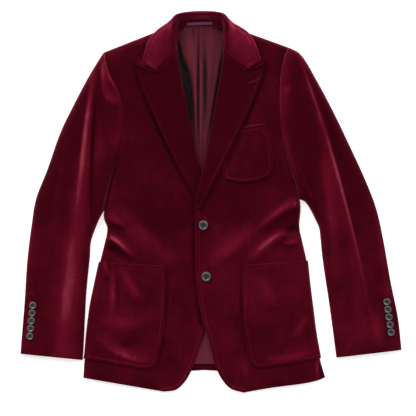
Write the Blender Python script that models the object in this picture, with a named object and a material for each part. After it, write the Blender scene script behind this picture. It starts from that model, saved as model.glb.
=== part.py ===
"""Velvet jacket lying flat on its back, buttoned at the front.

X runs across the jacket, Y from the hem to the collar, Z up from the surface it lies on.
Right and left are the wearer's. Sizes are millimetres until they are written into a mesh.
"""
import math

import bmesh
import bpy
import numpy as np

MM = 0.001

# Cloth and gaps
VELVET = 2.0             # wall of the velvet with its backing
SATIN = 1.0              # wall of the lining
RIBBON = 1.0             # wall of the hanger loop
SEAM_GAP = 0.6           # between pieces that are sewn edge to edge
LAY_GAP = 0.9            # between a patch and the panel under it
FLOOR_GAP = 0.3          # under the turned-down edge of a panel

# Turned-down edges
SIDE_ROLL = 14.0         # width of the turn at the side of a front
SHOULDER_ROLL = 16.0     # width of the turn at the shoulder
SHOULDER_PITCH = 43.0    # length of the last section interval, below the shoulder line
SLEEVE_ROLL = 30.0       # width of the turn at each side of a sleeve
EDGE_EASE = 110.0        # width over which a front rises from its front edge
BACK_INSET = 4.5         # the back stops this far inside the turned side
UNDER_INSET = 12.0       # an under sleeve stops this far in, along its sections

# Lapel, collar and small pieces
LAPEL_RISE = 5.4         # face of a lapel over the front under it
LAPEL_ROLL = 6.0         # width of the turn at the roll line
LAPEL_DROP = 1.5         # roll edge under the face of the front
LAPEL_LEAD = 4.0         # roll line beyond the edge of the front
SHOULDER_NOTCH = 2.2     # extra gap between front and sleeve at the shoulder point
COLLAR_ROLL = 3.5        # half width of the collar's fold
COLLAR_FALL = 4.0        # depth of the collar's fold
CENTRE_BACK = -15.0      # place of the centre back seam
BACK_HEM = -350.0
BACK_NECK = 376.0
LOOP_WIDTH = 5.5
LOOP_BOW = 3.0           # rise of the loop between its sewn ends
FRONT_BUTTON = 10.0      # radius
CUFF_BUTTON = 7.5        # radius
CUFF_BUTTON_COUNT = 5
BUTTON_SIDES = 12

VELVET_COLOUR = (0.085, 0.006, 0.014, 1.0)
COLLAR_COLOUR = (0.13, 0.010, 0.026, 1.0)
SATIN_COLOUR = (0.105, 0.022, 0.026, 1.0)
RIBBON_COLOUR = (0.16, 0.05, 0.11, 1.0)
HORN_COLOUR = (0.018, 0.015, 0.016, 1.0)


def table(columns, *rows):
    """Named columns of a short table, one row for each section or fold."""
    return {name: np.array(values, float) for name, values in zip(columns.split(), zip(*rows))}


# Sections of the fronts, from the hem to the shoulder. Each joins the front edge to the side.
FRONT_COLUMNS = "edge_x edge_y edge_z side_x side_y side_z crown"
FRONT_RIGHT = table(
    FRONT_COLUMNS,
    (-98, -395, 6.5, -266, -366, 0.3, 9),
    (-73, -391, 6.5, -265, -352, 0.3, 10),
    (-54, -374, 6.5, -264, -335, 0.3, 11),
    (-40, -349, 6.5, -261, -312, 0.3, 12),
    (-25, -308, 7.0, -257, -268, 0.3, 14),
    (-10, -258, 8.0, -250.5, -218, 0.3, 16),
    (2, -200, 9.0, -241.5, -173, 0.3, 18),
    (4, -137, 9.0, -231, -125, 0.3, 19),
    (4, -95, 9.0, -223, -92, 0.3, 19),
    (3, -58, 9.0, -216, -56, 0.3, 20),
    (0, -19, 9.5, -223, -19, 0.3, 24),
    (-28, 77, 13.0, -199, 81, 17, 26),
    (-40.5, 133, 17.0, -185, 135, 22, 27),
    (-53, 196, 20.0, -181, 187, 24, 28),
    (-67, 262, 23.0, -193, 233, 24, 28),
    (-76, 320, 25.0, -214, 275, 22, 28),
    (-85, 366, 26.0, -222, 312, 20, 28),
)
FRONT_LEFT = table(
    FRONT_COLUMNS,
    (68, -397, 6.5, 238, -365, 0.3, 9),
    (42, -389, 6.5, 234, -352, 0.3, 10),
    (24, -371, 6.5, 228.5, -333, 0.3, 11),
    (9, -341, 7.0, 224.5, -312, 0.3, 12),
    (-5, -287, 11.0, 217, -270, 0.3, 15),
    (-20, -235, 14.5, 211, -223, 0.3, 18),
    (-29, -179, 16.5, 204.5, -171, 0.3, 20),
    (-32, -137, 17.0, 199, -122, 0.3, 20),
    (-33, -79, 17.0, 190, -81, 0.3, 20),
    (-33, -48, 17.5, 184, -50, 0.3, 21),
    (-32, -17, 20.0, 185, 5, 0.3, 25),
    (-9, 87, 23.0, 157, 94, 18, 28),
    (2.5, 141, 22.0, 147, 141, 22, 28),
    (14, 206, 22.0, 143, 196, 24, 28),
    (26, 275, 24.0, 144, 258, 24, 28),
    (34, 333, 25.0, 152, 302, 22, 28),
    (40, 366, 26.0, 161, 322, 20, 28),
)
# The hem of the left front hangs below a straight line near its side.
FRONT_RIGHT["bow"] = np.zeros(17)
FRONT_LEFT["bow"] = np.array([4.5, 4.0, 3.0, 1.0] + [0.0] * 13)
BOW_PEAK = 0.0923        # largest value of the bow's curve
SHOULDER_ROW = 16        # last section
ARMPIT_ROW = 10          # section where the sleeve joins

# Sections of the sleeves, from the armhole to the cuff. The share is of the armhole's curve.
SLEEVE_COLUMNS = "inner_x inner_y outer_x outer_y crown share"
SLEEVE_RIGHT = table(
    SLEEVE_COLUMNS,
    (-223, -19, -222, 312, 28, 1.0),
    (-231, -33, -252, 266, 29, 0.85),
    (-238.5, -50, -285, 204, 28, 0.55),
    (-245.5, -68, -314, 144, 26, 0.28),
    (-250.5, -87, -341, 67, 24, 0.10),
    (-252, -114, -364, 8, 22, 0.0),
    (-256, -152, -374, -50, 20, 0.0),
    (-260, -198, -383, -125, 18, 0.0),
    (-263, -256, -388, -204, 16, 0.0),
    (-265, -297, -393, -266, 15, 0.0),
    (-267, -329, -397, -316, 14, 0.0),
)
SLEEVE_LEFT = table(
    SLEEVE_COLUMNS,
    (185, 5, 161, 322, 28, 1.0),
    (196, 0, 189, 305, 29, 0.9),
    (207, -16, 221, 252, 28, 0.6),
    (217, -36, 256, 186, 26, 0.3),
    (225, -54, 289, 117, 24, 0.10),
    (228, -77, 318.5, 53, 22, 0.0),
    (231, -108, 343.5, -11, 20, 0.0),
    (237, -152, 359, -79, 18, 0.0),
    (245, -204, 374, -164, 16, 0.0),
    (253, -262, 389.5, -241, 15, 0.0),
    (261, -324, 397, -308, 14, 0.0),
)

# Largest folds: a curve through three points, its half width, and its height over the cloth.
FOLD_COLUMNS = "start_x start_y middle_x middle_y end_x end_y half_width height"
FRONT_RIGHT_FOLDS = table(
    FOLD_COLUMNS,
    (-226, -74, -196, -88, -165, -116, 13, 8),
    (-224, -98, -205, -104, -184, -118, 11, -6),
    (-200, -27, -150, -70, -90, -125, 24, 3),
)
FRONT_LEFT_FOLDS = table(
    FOLD_COLUMNS,
    (178, -4, 146, -22, 106, -48, 14, 5),
    (174, -78, 136, -88, 86, -116, 14, 5),
    (186, -50, 174, -58, 150, -66, 9, -4),
    (85, -66, 45, -98, 2, -131, 18, 3),
)
SLEEVE_RIGHT_FOLDS = table(
    FOLD_COLUMNS,
    (-236, 292, -279.5, -14, -315, -320, 14, 6),
    (-236, 270, -248, 110, -250, -20, 12, -4),
    (-226, 296, -230, 236, -190, 206, 10, 4),
)
SLEEVE_LEFT_FOLDS = table(
    FOLD_COLUMNS,
    (187, 302, 270.7, 36, 329, -230, 11, 6),
    (236, 60, 250, -50, 268, -190, 20, 3),
)

# Lapels: from the break to the gorge. The roll line leads the front's edge at its section.
LAPEL_COLUMNS = "section notch_x notch_y outer_x outer_y"
LAPEL_RIGHT = table(
    LAPEL_COLUMNS,
    (10.2, -18, 2, -36, 8),
    (10.9, -38, 62, -60, 54),
    (12.0, -66, 134, -102, 135),
    (13.0, -90, 200, -133, 204),
    (14.0, -106, 256, -152, 254),
    (14.85, -120, 271, -163, 287),
)
LAPEL_LEFT = table(
    LAPEL_COLUMNS,
    (10.0, -27, -14, -18, -12),
    (10.5, -10, 40, 6, 37),
    (11.5, 18, 116, 44, 114),
    (12.9, 42, 196, 81, 191),
    (14.0, 62, 262, 106, 254),
    (14.6, 78, 273, 116, 292),
)

# Collar: from its right end round the neck to its left end, foot of the stand to leaf edge.
COLLAR_COLUMNS = ("foot_x foot_y foot_z roll_x roll_y roll_z"
                  " leaf_x leaf_y leaf_z edge_x edge_y edge_z")
COLLAR = table(
    COLLAR_COLUMNS,
    (-68.5, 315.5, 25, -71.5, 312, 36, -120, 274, 36, -144, 292, 34),
    (-70.5, 335.5, 22, -73.5, 334, 38, -104, 332, 37, -131, 333, 34),
    (-69.5, 356, 18, -73, 358, 40, -96, 359, 36, -114.5, 355, 28),
    (-67, 369, 15, -72, 375, 41, -84, 375, 33, -93.5, 371, 19),
    (-58, 377, 14, -65, 388, 41, -70, 391, 28, -71.5, 386, 9),
    (-23, 380, 14, -23, 391, 42, -23, 397, 26, -23, 393, 4),
    (13, 377, 14, 18, 390, 41, 23.5, 393, 28, 25.5, 388, 9),
    (24, 369, 15, 29, 376, 41, 40, 376, 33, 48.5, 372, 19),
    (26.5, 356, 18, 30, 358, 40, 58, 358, 36, 77, 353, 28),
    (27.5, 333.5, 22, 30.5, 332, 38, 64, 330, 37, 93, 327, 34),
    (24.5, 315, 25, 27, 311, 36, 78, 276, 36, 105, 294, 34),
)

# Patch pockets on the fronts: range of sections, share across of the front-facing edge.
POCKET_ROWS = (2.45, 7.0)
POCKET_EDGE = table("height share", (0.0, 0.32), (0.5, 0.35), (1.0, 0.43))
POCKET_CORNER_SHARE = 0.11
POCKET_CORNER_HEIGHT = 0.2
BREAST_COLUMNS = "near_x near_y far_x far_y bow"
BREAST = table(
    BREAST_COLUMNS,
    (44, 42.5, 98, 44, 3.5),
    (31, 46, 114, 49.5, 5),
    (25, 54, 124, 58, 4),
    (23, 68, 129.5, 76, 2),
    (22, 106, 127, 110, 0),
    (30, 150, 112, 164, 0),
)

# Lining over the back: height up the back, its two edges, and its lie above the surface.
LINING = table(
    "place_y right_x left_x rise",
    (-337, -75, 38, 3.6),
    (-200, -70, 40, 3.6),
    (0, -80, 45, 4.0),
    (200, -105, 65, 5.0),
    (320, -100, 55, 8.0),
    (371, -70, 26, 11.0),
)
PLEAT = table(FOLD_COLUMNS, (-23, 372, -24, 200, -25, 0, 9, 3.5))

# Neck facing under the collar stand, and the loop on it
FACING = table(
    "place_x upper_y lower_y rise",
    (-69, 371, 359, 13.0),
    (-52, 380, 364.5, 13.0),
    (-23, 385, 367, 13.0),
    (7, 380, 364.5, 13.0),
    (26, 371, 359, 13.0),
)
LOOP_START = (-50.0, 370.0)
LOOP_END = (3.0, 372.0)

# Button profile: share of the radius, and height over the cloth
BUTTON = table("share rise", (0.55, 0.0), (0.94, 0.7), (1.0, 1.6), (0.92, 3.0), (0.74, 3.2), (0.58, 2.4))
FRONT_BUTTONS = table("place_x place_y", (-16, -48), (-10, -155))
CUFF_RIGHT = table("place_x place_y", (-370, -215), (-376, -279))
CUFF_LEFT = table("place_x place_y", (365, -208), (374, -271))


def smooth(values, at):
    """Values at fractional row numbers, by cubics whose slopes come from the rows beside them."""
    slope = np.gradient(values)
    low = np.clip(np.floor(at).astype(int), 0, len(values) - 2)
    t = at - low
    return ((1 + 2 * t) * (1 - t) ** 2 * values[low] + t * (1 - t) ** 2 * slope[low]
            + t * t * (3 - 2 * t) * values[low + 1] + t * t * (t - 1) * slope[low + 1])


def ease(t):
    """Soft step from 0 to 1."""
    t = np.clip(t, 0, 1)
    return t * t * (3 - 2 * t)


def rounded(distance, reach):
    """Rise from 0 at an edge to 1 a reach inside it, along a quarter of an ellipse."""
    t = np.clip(distance / reach, 0, 1)
    return np.sqrt(t * (2 - t))


def turn_steps(reach, count=4):
    """Distances from an edge that divide its rounded turn evenly."""
    return reach * (1 - np.cos(np.linspace(0, math.pi / 2, count + 1)))


def fold_height(folds, x, y):
    """Height of soft ridges and troughs at plan points, each tapered to nothing at its ends."""
    t = np.linspace(0, 1, 25)
    total = np.zeros_like(x)
    for i in range(len(folds["height"])):
        row = {name: values[i] for name, values in folds.items()}
        first, second, third = (1 - t) * (1 - 2 * t), 4 * t * (1 - t), t * (2 * t - 1)
        path_x = first * row["start_x"] + second * row["middle_x"] + third * row["end_x"]
        path_y = first * row["start_y"] + second * row["middle_y"] + third * row["end_y"]
        square = (x[..., None] - path_x) ** 2 + (y[..., None] - path_y) ** 2
        taper = np.sin(math.pi * t[square.argmin(-1)]) ** 0.6
        total += row["height"] * taper * np.exp(-square.min(-1) / row["half_width"] ** 2)
    return total


def front_surface(front, folds, row, across):
    """Face of a front: arched over lines from edge to side, turned down at side and shoulder."""
    at = {name: smooth(values, row) for name, values in front.items()}
    x = at["edge_x"] + (at["side_x"] - at["edge_x"]) * across
    y = at["edge_y"] + (at["side_y"] - at["edge_y"]) * across
    y = y - at["bow"] * across ** 3.5 * (1 - across) / BOW_PEAK
    length = np.hypot(at["side_x"] - at["edge_x"], at["side_y"] - at["edge_y"])
    turn = rounded((1 - across) * length, SIDE_ROLL)
    side_z = np.maximum(at["side_z"], FLOOR_GAP)
    z = side_z + (at["crown"] - side_z) * turn
    z = z - (at["crown"] - at["edge_z"]) * (1 - ease(across * length / EDGE_EASE))
    z = z + fold_height(folds, x, y) * turn
    shoulder = rounded((SHOULDER_ROW - row) * SHOULDER_PITCH, SHOULDER_ROLL)
    return np.stack([x, y, FLOOR_GAP + (z - FLOOR_GAP) * shoulder], -1)


def locate(front, x, y):
    """Section and share across of plan points on a front, the section found by halving."""
    low = np.zeros_like(x)
    high = np.full_like(x, SHOULDER_ROW)
    for _ in range(30):
        row = (low + high) / 2
        at = {name: smooth(values, row) for name, values in front.items()}
        run_x = at["side_x"] - at["edge_x"]
        run_y = at["side_y"] - at["edge_y"]
        over = (run_x * (y - at["edge_y"]) - run_y * (x - at["edge_x"])) * np.sign(run_x) > 0
        low = np.where(over, row, low)
        high = np.where(over, high, row)
    share = ((x - at["edge_x"]) * run_x + (y - at["edge_y"]) * run_y) / (run_x ** 2 + run_y ** 2)
    return row, np.clip(share, 0, 1)


def front_height(front, folds, x, y):
    """Height of a front's face at plan points."""
    row, across = locate(front, x, y)
    return front_surface(front, folds, row, across)[..., 2]


def sleeve_length(sleeve, row):
    """Straight length of a sleeve's sections."""
    return np.hypot(smooth(sleeve["outer_x"], row) - smooth(sleeve["inner_x"], row),
                    smooth(sleeve["outer_y"], row) - smooth(sleeve["inner_y"], row))


def sleeve_surface(sleeve, folds, front, front_folds, row, across):
    """Face of a sleeve: an arch between two turned edges that starts along the armhole."""
    at = {name: smooth(values, row) for name, values in sleeve.items()}
    arm_row = ARMPIT_ROW + (SHOULDER_ROW - ARMPIT_ROW) * across
    arm = front_surface(front, front_folds, arm_row, np.ones_like(arm_row))
    bow_x = arm[..., 0] - (sleeve["inner_x"][0] * (1 - across) + sleeve["outer_x"][0] * across)
    bow_y = arm[..., 1] - (sleeve["inner_y"][0] * (1 - across) + sleeve["outer_y"][0] * across)
    away = np.sign(at["outer_x"]) * (SEAM_GAP + SHOULDER_NOTCH * across ** 8) * np.clip(1 - row, 0, 1)
    x = at["inner_x"] + (at["outer_x"] - at["inner_x"]) * across + at["share"] * bow_x + away
    y = at["inner_y"] + (at["outer_y"] - at["inner_y"]) * across + at["share"] * bow_y
    length = sleeve_length(sleeve, row)
    turn = rounded(across * length, SLEEVE_ROLL) * rounded((1 - across) * length, SLEEVE_ROLL)
    z = FLOOR_GAP + (at["crown"] - FLOOR_GAP + fold_height(folds, x, y)) * turn
    z = arm[..., 2] + (z - arm[..., 2]) * rounded(row, 1.0)
    return np.stack([x, y, z], -1)


def normals(points):
    """Unit normals of a grid of points, on the side that faces up."""
    normal = np.cross(np.gradient(points, axis=0), np.gradient(points, axis=1))
    normal /= np.linalg.norm(normal, axis=-1, keepdims=True)
    return normal * np.sign(normal[..., 2].sum())


def material(name, colour, roughness):
    """Plain finish for one piece."""
    finish = bpy.data.materials.new(name)
    finish.use_nodes = True
    shader = finish.node_tree.nodes["Principled BSDF"]
    shader.inputs["Base Color"].default_value = colour
    shader.inputs["Roughness"].default_value = roughness
    return finish


def add_object(name, points, faces, colour, roughness):
    """One named piece from points in millimetres, its faces turned outward."""
    mesh = bpy.data.meshes.new(name)
    mesh.from_pydata((np.asarray(points) * MM).tolist(), [], faces)
    work = bmesh.new()
    work.from_mesh(mesh)
    bmesh.ops.recalc_face_normals(work, faces=work.faces)
    work.to_mesh(mesh)
    work.free()
    mesh.materials.append(material(name, colour, roughness))
    piece = bpy.data.objects.new(name, mesh)
    bpy.context.collection.objects.link(piece)
    return piece


def wall(name, points, thickness, colour=VELVET_COLOUR, roughness=0.9):
    """Closed wall of cloth: a grid of points on its face, the same grid moved in, and a rim."""
    rows, columns = points.shape[:2]
    number = np.arange(rows * columns).reshape(rows, columns)
    face = np.stack([number[:-1, :-1], number[1:, :-1], number[1:, 1:], number[:-1, 1:]], -1).reshape(-1, 4)
    under = face[:, ::-1] + rows * columns
    loop = np.concatenate([number[0, :-1], number[:-1, -1], number[-1, :0:-1], number[:0:-1, 0]])
    ahead = np.roll(loop, -1)
    rim = np.stack([loop, ahead, ahead + rows * columns, loop + rows * columns], -1)
    inner = points - thickness * normals(points)
    inner[..., 2] = np.maximum(inner[..., 2], 0)
    both = np.concatenate([points.reshape(-1, 3), inner.reshape(-1, 3)])
    return add_object(name, both, np.concatenate([face, under, rim]).tolist(), colour, roughness)


def front_rows(first, last, step):
    """Section numbers for a front, closer together in the turn at the shoulder."""
    rows = np.arange(first, last, step)
    if last < SHOULDER_ROW:
        return np.append(rows, last)
    turn = SHOULDER_ROW - turn_steps(SHOULDER_ROLL)[::-1] / SHOULDER_PITCH
    return np.concatenate([rows[rows < turn[0] - step / 2], turn])


def across_front(front, row, start, count):
    """Shares across a front from a start to the side, closer together in the turn at the side."""
    at = {name: smooth(values, row) for name, values in front.items()}
    length = np.hypot(at["side_x"] - at["edge_x"], at["side_y"] - at["edge_y"])
    turn = 1 - turn_steps(SIDE_ROLL)[::-1] / length
    flat = start + (turn[:, :1] - start) * np.linspace(0, 1, count + 1)[:-1]
    return np.concatenate([flat, turn], 1)


def make_front(name, front, folds):
    """One front of the body."""
    row = front_rows(0, SHOULDER_ROW, 0.5)[:, None]
    across = across_front(front, row, 0.0, 13)
    wall(name, front_surface(front, folds, row + 0 * across, across), VELVET)


def make_pocket(name, front, folds):
    """Lower patch pocket: the front's own points moved out, one lower corner rounded."""
    height = np.array([0.0, 0.03, 0.08, 0.14, 0.2, 0.3, 0.45, 0.6, 0.75, 0.9, 1.0])[:, None]
    start = np.interp(height, POCKET_EDGE["height"], POCKET_EDGE["share"])
    start = start + POCKET_CORNER_SHARE * (1 - rounded(height, POCKET_CORNER_HEIGHT))
    row = POCKET_ROWS[0] + (POCKET_ROWS[1] - POCKET_ROWS[0]) * height
    across = across_front(front, row, start, 7)
    points = front_surface(front, folds, row + 0 * across, across)
    wall(name, points + (LAY_GAP + VELVET) * normals(points), VELVET)


def make_breast_pocket(name, front, folds):
    """Breast patch pocket, laid on the front and partly under the lapel."""
    row = np.linspace(0, 5, 14)[:, None]
    share = np.linspace(0, 1, 9)
    at = {key: smooth(values, row) for key, values in BREAST.items()}
    x = at["near_x"] + (at["far_x"] - at["near_x"]) * share
    y = at["near_y"] + (at["far_y"] - at["near_y"]) * share - at["bow"] * 4 * share * (1 - share)
    z = front_height(front, folds, x, y) + LAY_GAP + VELVET
    wall(name, np.stack([x, y, z], -1), VELVET)


def make_lapel(name, lapel, front, folds):
    """Lapel turned back over a front, rounded down at the roll line."""
    row = np.linspace(0, 5, 15)[:, None]
    at = {key: smooth(values, row) for key, values in lapel.items()}
    lead = np.sign(front["edge_x"][0]) * LAPEL_LEAD
    at["roll_x"] = smooth(front["edge_x"], at["section"]) - lead
    at["roll_y"] = smooth(front["edge_y"], at["section"])
    width = np.hypot(at["outer_x"] - at["roll_x"], at["outer_y"] - at["roll_y"])
    turn = turn_steps(LAPEL_ROLL, 3) / width
    share = np.concatenate([turn, turn[:, -1:] + (1 - turn[:, -1:]) * np.linspace(0, 1, 7)[1:]], 1)
    inner = np.clip(share * 2, 0, 1)
    outer = np.clip(share * 2 - 1, 0, 1)
    x = at["roll_x"] + (at["notch_x"] - at["roll_x"]) * inner + (at["outer_x"] - at["notch_x"]) * outer
    y = at["roll_y"] + (at["notch_y"] - at["roll_y"]) * inner + (at["outer_y"] - at["notch_y"]) * outer
    lift = rounded(share * width, LAPEL_ROLL)
    z = front_height(front, folds, x, y) - LAPEL_DROP + (LAPEL_RISE + LAPEL_DROP) * lift
    wall(name, np.stack([x, y, z], -1), VELVET)


def make_collar(name):
    """Stand and leaf in one wall, folded over at the roll line."""
    row = np.linspace(0, 10, 31)[:, None]
    at = {key: smooth(values, row)[:, 0] for key, values in COLLAR.items()}
    place = {key: np.stack([at[key + "_x"], at[key + "_y"], at[key + "_z"]], -1)
             for key in ("foot", "roll", "leaf", "edge")}
    shoulders = {}
    for key in ("foot", "leaf"):
        lean = (place[key] - place["roll"]) * (1, 1, 0)
        lean = lean / np.linalg.norm(lean, axis=-1, keepdims=True)
        shoulders[key] = place["roll"] + lean * COLLAR_ROLL - np.array([0, 0, COLLAR_FALL])
    line = [place["foot"], (place["foot"] + shoulders["foot"]) / 2, shoulders["foot"], place["roll"],
            shoulders["leaf"], (place["leaf"] + shoulders["leaf"]) / 2, place["leaf"],
            (place["leaf"] + place["edge"]) / 2, place["edge"]]
    wall(name, np.stack(line, 1), VELVET, COLLAR_COLOUR)


def sleeve_grid(sleeve, folds, front, front_folds, row, count):
    """Points of a sleeve at section numbers, closer together in its two turned edges."""
    turn = turn_steps(SLEEVE_ROLL) / sleeve_length(sleeve, row)
    middle = turn[:, -1:] + (1 - 2 * turn[:, -1:]) * np.linspace(0, 1, count + 1)[1:-1]
    across = np.concatenate([turn, middle, 1 - turn[:, ::-1]], 1)
    return sleeve_surface(sleeve, folds, front, front_folds, row + 0 * across, across)


def make_sleeve(name, sleeve, folds, front, front_folds):
    """Top sleeve with its two turned edges, and the flat under sleeve that closes it."""
    row = np.concatenate([[0, 0.12, 0.35, 0.65], np.arange(1, 10.1, 0.5)])[:, None]
    wall(name + "_top", sleeve_grid(sleeve, folds, front, front_folds, row, 9), VELVET)
    row = np.linspace(0.7, 10, 17)[:, None]
    length = sleeve_length(sleeve, row)
    across = UNDER_INSET / length + (1 - 2 * UNDER_INSET / length) * np.linspace(0, 1, 7)
    under = sleeve_surface(sleeve, folds, front, front_folds, row + 0 * across, across)
    under[..., 2] = VELVET
    wall(name + "_under", under, VELVET)


def make_back(name, front, side):
    """Half of the back, flat on the surface from the centre seam to the turned edge."""
    row = np.linspace(0.12, 15.7, 20)[:, None]
    share = np.linspace(0, 1, 7)
    side_x = smooth(front["side_x"], row) - side * BACK_INSET
    side_y = smooth(front["side_y"], row)
    reach = (side_y - side_y[0]) / (side_y[-1] - side_y[0])
    centre_y = BACK_HEM + (BACK_NECK - BACK_HEM) * reach
    centre_x = CENTRE_BACK + side * SEAM_GAP / 2
    points = np.stack([centre_x + (side_x - centre_x) * share,
                       centre_y + (side_y - centre_y) * share,
                       np.full((20, 7), VELVET)], -1)
    wall(name, points, VELVET)


def make_lining(name):
    """Back lining with its centre pleat, lying on the back and rising to the neck."""
    row = np.linspace(0, 5, 21)[:, None]
    at = {key: smooth(values, row) for key, values in LINING.items()}
    middle = np.array([-30.0, -18.0, -10.0, -5.0, 0.0, 5.0, 10.0, 18.0, 30.0]) - 24.0
    x = np.concatenate([at["right_x"], middle + 0 * row, at["left_x"]], 1)
    y = at["place_y"] + 0 * x
    z = at["rise"] + fold_height(PLEAT, x, y)
    wall(name, np.stack([x, y, z], -1), SATIN, SATIN_COLOUR, 0.4)


def make_facing(name):
    """Back neck facing between the collar stand and the lining."""
    row = np.linspace(0, 4, 13)[:, None]
    at = {key: smooth(values, row) for key, values in FACING.items()}
    share = np.linspace(0, 1, 4)
    x = at["place_x"] + 0 * share
    y = at["lower_y"] + (at["upper_y"] - at["lower_y"]) * share
    wall(name, np.stack([x, y, at["rise"] + 0 * share], -1), SATIN, COLLAR_COLOUR)


def make_loop(name):
    """Hanger loop: a strip that bows up between its two sewn ends."""
    t = np.linspace(0, 1, 11)[:, None]
    share = np.linspace(-0.5, 0.5, 3) * LOOP_WIDTH
    x = LOOP_START[0] + (LOOP_END[0] - LOOP_START[0]) * t + 0 * share
    y = LOOP_START[1] + (LOOP_END[1] - LOOP_START[1]) * t + share
    base = FACING["rise"].max() + LAY_GAP + RIBBON
    wall(name, np.stack([x, y, base + LOOP_BOW * np.sin(math.pi * t) + 0 * x], -1), RIBBON, RIBBON_COLOUR, 0.5)


def make_button(name, points, place_x, place_y, radius):
    """Dished button, square to the cloth under its middle."""
    normal = normals(points)
    near = ((points[..., 0] - place_x) ** 2 + (points[..., 1] - place_y) ** 2).argmin()
    axis = normal.reshape(-1, 3)[near]
    seat = points.reshape(-1, 3)[near] + axis * LAY_GAP
    right = np.cross((0, 1, 0), axis)
    right /= np.linalg.norm(right)
    ahead = np.cross(axis, right)
    turn = np.linspace(0, 2 * math.pi, BUTTON_SIDES, endpoint=False)
    spokes = right * np.cos(turn)[:, None] + ahead * np.sin(turn)[:, None]
    rings = [seat + spokes * radius * share + axis * rise * radius / FRONT_BUTTON
             for share, rise in zip(BUTTON["share"], BUTTON["rise"])]
    count = len(rings)
    number = np.arange(count * BUTTON_SIDES).reshape(count, BUTTON_SIDES)
    ahead_number = np.roll(number, -1, 1)
    band = np.stack([number[:-1], ahead_number[:-1], ahead_number[1:], number[1:]], -1).reshape(-1, 4)
    faces = band.tolist() + [number[0, ::-1].tolist(), number[-1].tolist()]
    add_object(name, np.concatenate(rings), faces, HORN_COLOUR, 0.35)


def make_buttons():
    """Two buttons on the left front and five on each sleeve."""
    row = np.linspace(6, 10, 161)[:, None]
    across = np.linspace(0, 0.3, 61)
    face = front_surface(FRONT_LEFT, FRONT_LEFT_FOLDS, row + 0 * across, across + 0 * row)
    for i, place in enumerate(zip(FRONT_BUTTONS["place_x"], FRONT_BUTTONS["place_y"])):
        make_button("button_front_%d" % (i + 1), face, *place, FRONT_BUTTON)
    for side, sleeve, folds, front, front_folds, line in (
            ("right", SLEEVE_RIGHT, SLEEVE_RIGHT_FOLDS, FRONT_RIGHT, FRONT_RIGHT_FOLDS, CUFF_RIGHT),
            ("left", SLEEVE_LEFT, SLEEVE_LEFT_FOLDS, FRONT_LEFT, FRONT_LEFT_FOLDS, CUFF_LEFT)):
        row = np.linspace(7, 10, 121)[:, None]
        face = sleeve_grid(sleeve, folds, front, front_folds, row, 60)
        for i, t in enumerate(np.linspace(0, 1, CUFF_BUTTON_COUNT)):
            place = [values[0] + (values[1] - values[0]) * t for values in line.values()]
            make_button("button_%s_%d" % (side, i + 1), face, *place, CUFF_BUTTON)


def main():
    for old in list(bpy.data.objects):
        bpy.data.objects.remove(old, do_unlink=True)
    make_back("back_right", FRONT_RIGHT, -1)
    make_back("back_left", FRONT_LEFT, 1)
    make_lining("lining_back")
    make_facing("neck_facing")
    make_loop("hanger_loop")
    make_front("front_right", FRONT_RIGHT, FRONT_RIGHT_FOLDS)
    make_front("front_left", FRONT_LEFT, FRONT_LEFT_FOLDS)
    make_sleeve("sleeve_right", SLEEVE_RIGHT, SLEEVE_RIGHT_FOLDS, FRONT_RIGHT, FRONT_RIGHT_FOLDS)
    make_sleeve("sleeve_left", SLEEVE_LEFT, SLEEVE_LEFT_FOLDS, FRONT_LEFT, FRONT_LEFT_FOLDS)
    make_pocket("pocket_right", FRONT_RIGHT, FRONT_RIGHT_FOLDS)
    make_pocket("pocket_left", FRONT_LEFT, FRONT_LEFT_FOLDS)
    make_breast_pocket("pocket_breast", FRONT_LEFT, FRONT_LEFT_FOLDS)
    make_lapel("lapel_right", LAPEL_RIGHT, FRONT_RIGHT, FRONT_RIGHT_FOLDS)
    make_lapel("lapel_left", LAPEL_LEFT, FRONT_LEFT, FRONT_LEFT_FOLDS)
    make_collar("collar")
    make_buttons()


main()
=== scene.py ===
# %% [markdown]
# # A velvet jacket, laid flat
# A tailored jacket of wine-red velvet lies on its back and is seen from straight above.
# Every panel is a sheet of cloth, so each one is worked out here as a face over a grid of
# points, and then given the thickness of the cloth. Sizes are in millimetres until the
# points go into a mesh.

# %% Load the part
import math

import bpy
import numpy as np
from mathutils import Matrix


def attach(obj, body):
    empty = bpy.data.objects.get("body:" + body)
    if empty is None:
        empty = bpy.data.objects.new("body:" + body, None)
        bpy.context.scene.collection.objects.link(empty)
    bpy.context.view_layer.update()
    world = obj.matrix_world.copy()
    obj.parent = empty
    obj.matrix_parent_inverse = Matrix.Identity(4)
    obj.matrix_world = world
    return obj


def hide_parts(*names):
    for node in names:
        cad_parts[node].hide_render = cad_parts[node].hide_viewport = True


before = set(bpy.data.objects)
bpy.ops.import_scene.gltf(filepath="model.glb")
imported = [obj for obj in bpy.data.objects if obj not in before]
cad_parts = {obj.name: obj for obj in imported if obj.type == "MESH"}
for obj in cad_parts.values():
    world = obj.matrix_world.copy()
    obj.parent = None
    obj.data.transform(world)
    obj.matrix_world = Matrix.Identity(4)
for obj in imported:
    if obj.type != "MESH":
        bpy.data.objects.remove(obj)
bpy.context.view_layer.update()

MM = 0.001
print("solids in the part:", len(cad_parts))

# %% [markdown]
# ## Short tables and smooth lines
# A pattern maker gives a jacket by a few measured lines. Each table here has a row for each
# line, and a cubic through the rows gives all the places between them. A quarter ellipse
# gives the way that cloth turns down at a folded edge.

# %% Tables and curves


def table(columns, *rows):
    """Named columns of a short table, one row for each section or fold."""
    return {name: np.array(values, float) for name, values in zip(columns.split(), zip(*rows))}


def smooth(values, at):
    """Values at fractional row numbers, by cubics whose slopes come from the rows beside them."""
    slope = np.gradient(values, axis=0)
    low = np.clip(np.floor(at).astype(int), 0, len(values) - 2)
    t = at - low
    return ((1 + 2 * t) * (1 - t) ** 2 * values[low] + t * (1 - t) ** 2 * slope[low]
            + t * t * (3 - 2 * t) * values[low + 1] + t * t * (t - 1) * slope[low + 1])


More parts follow.
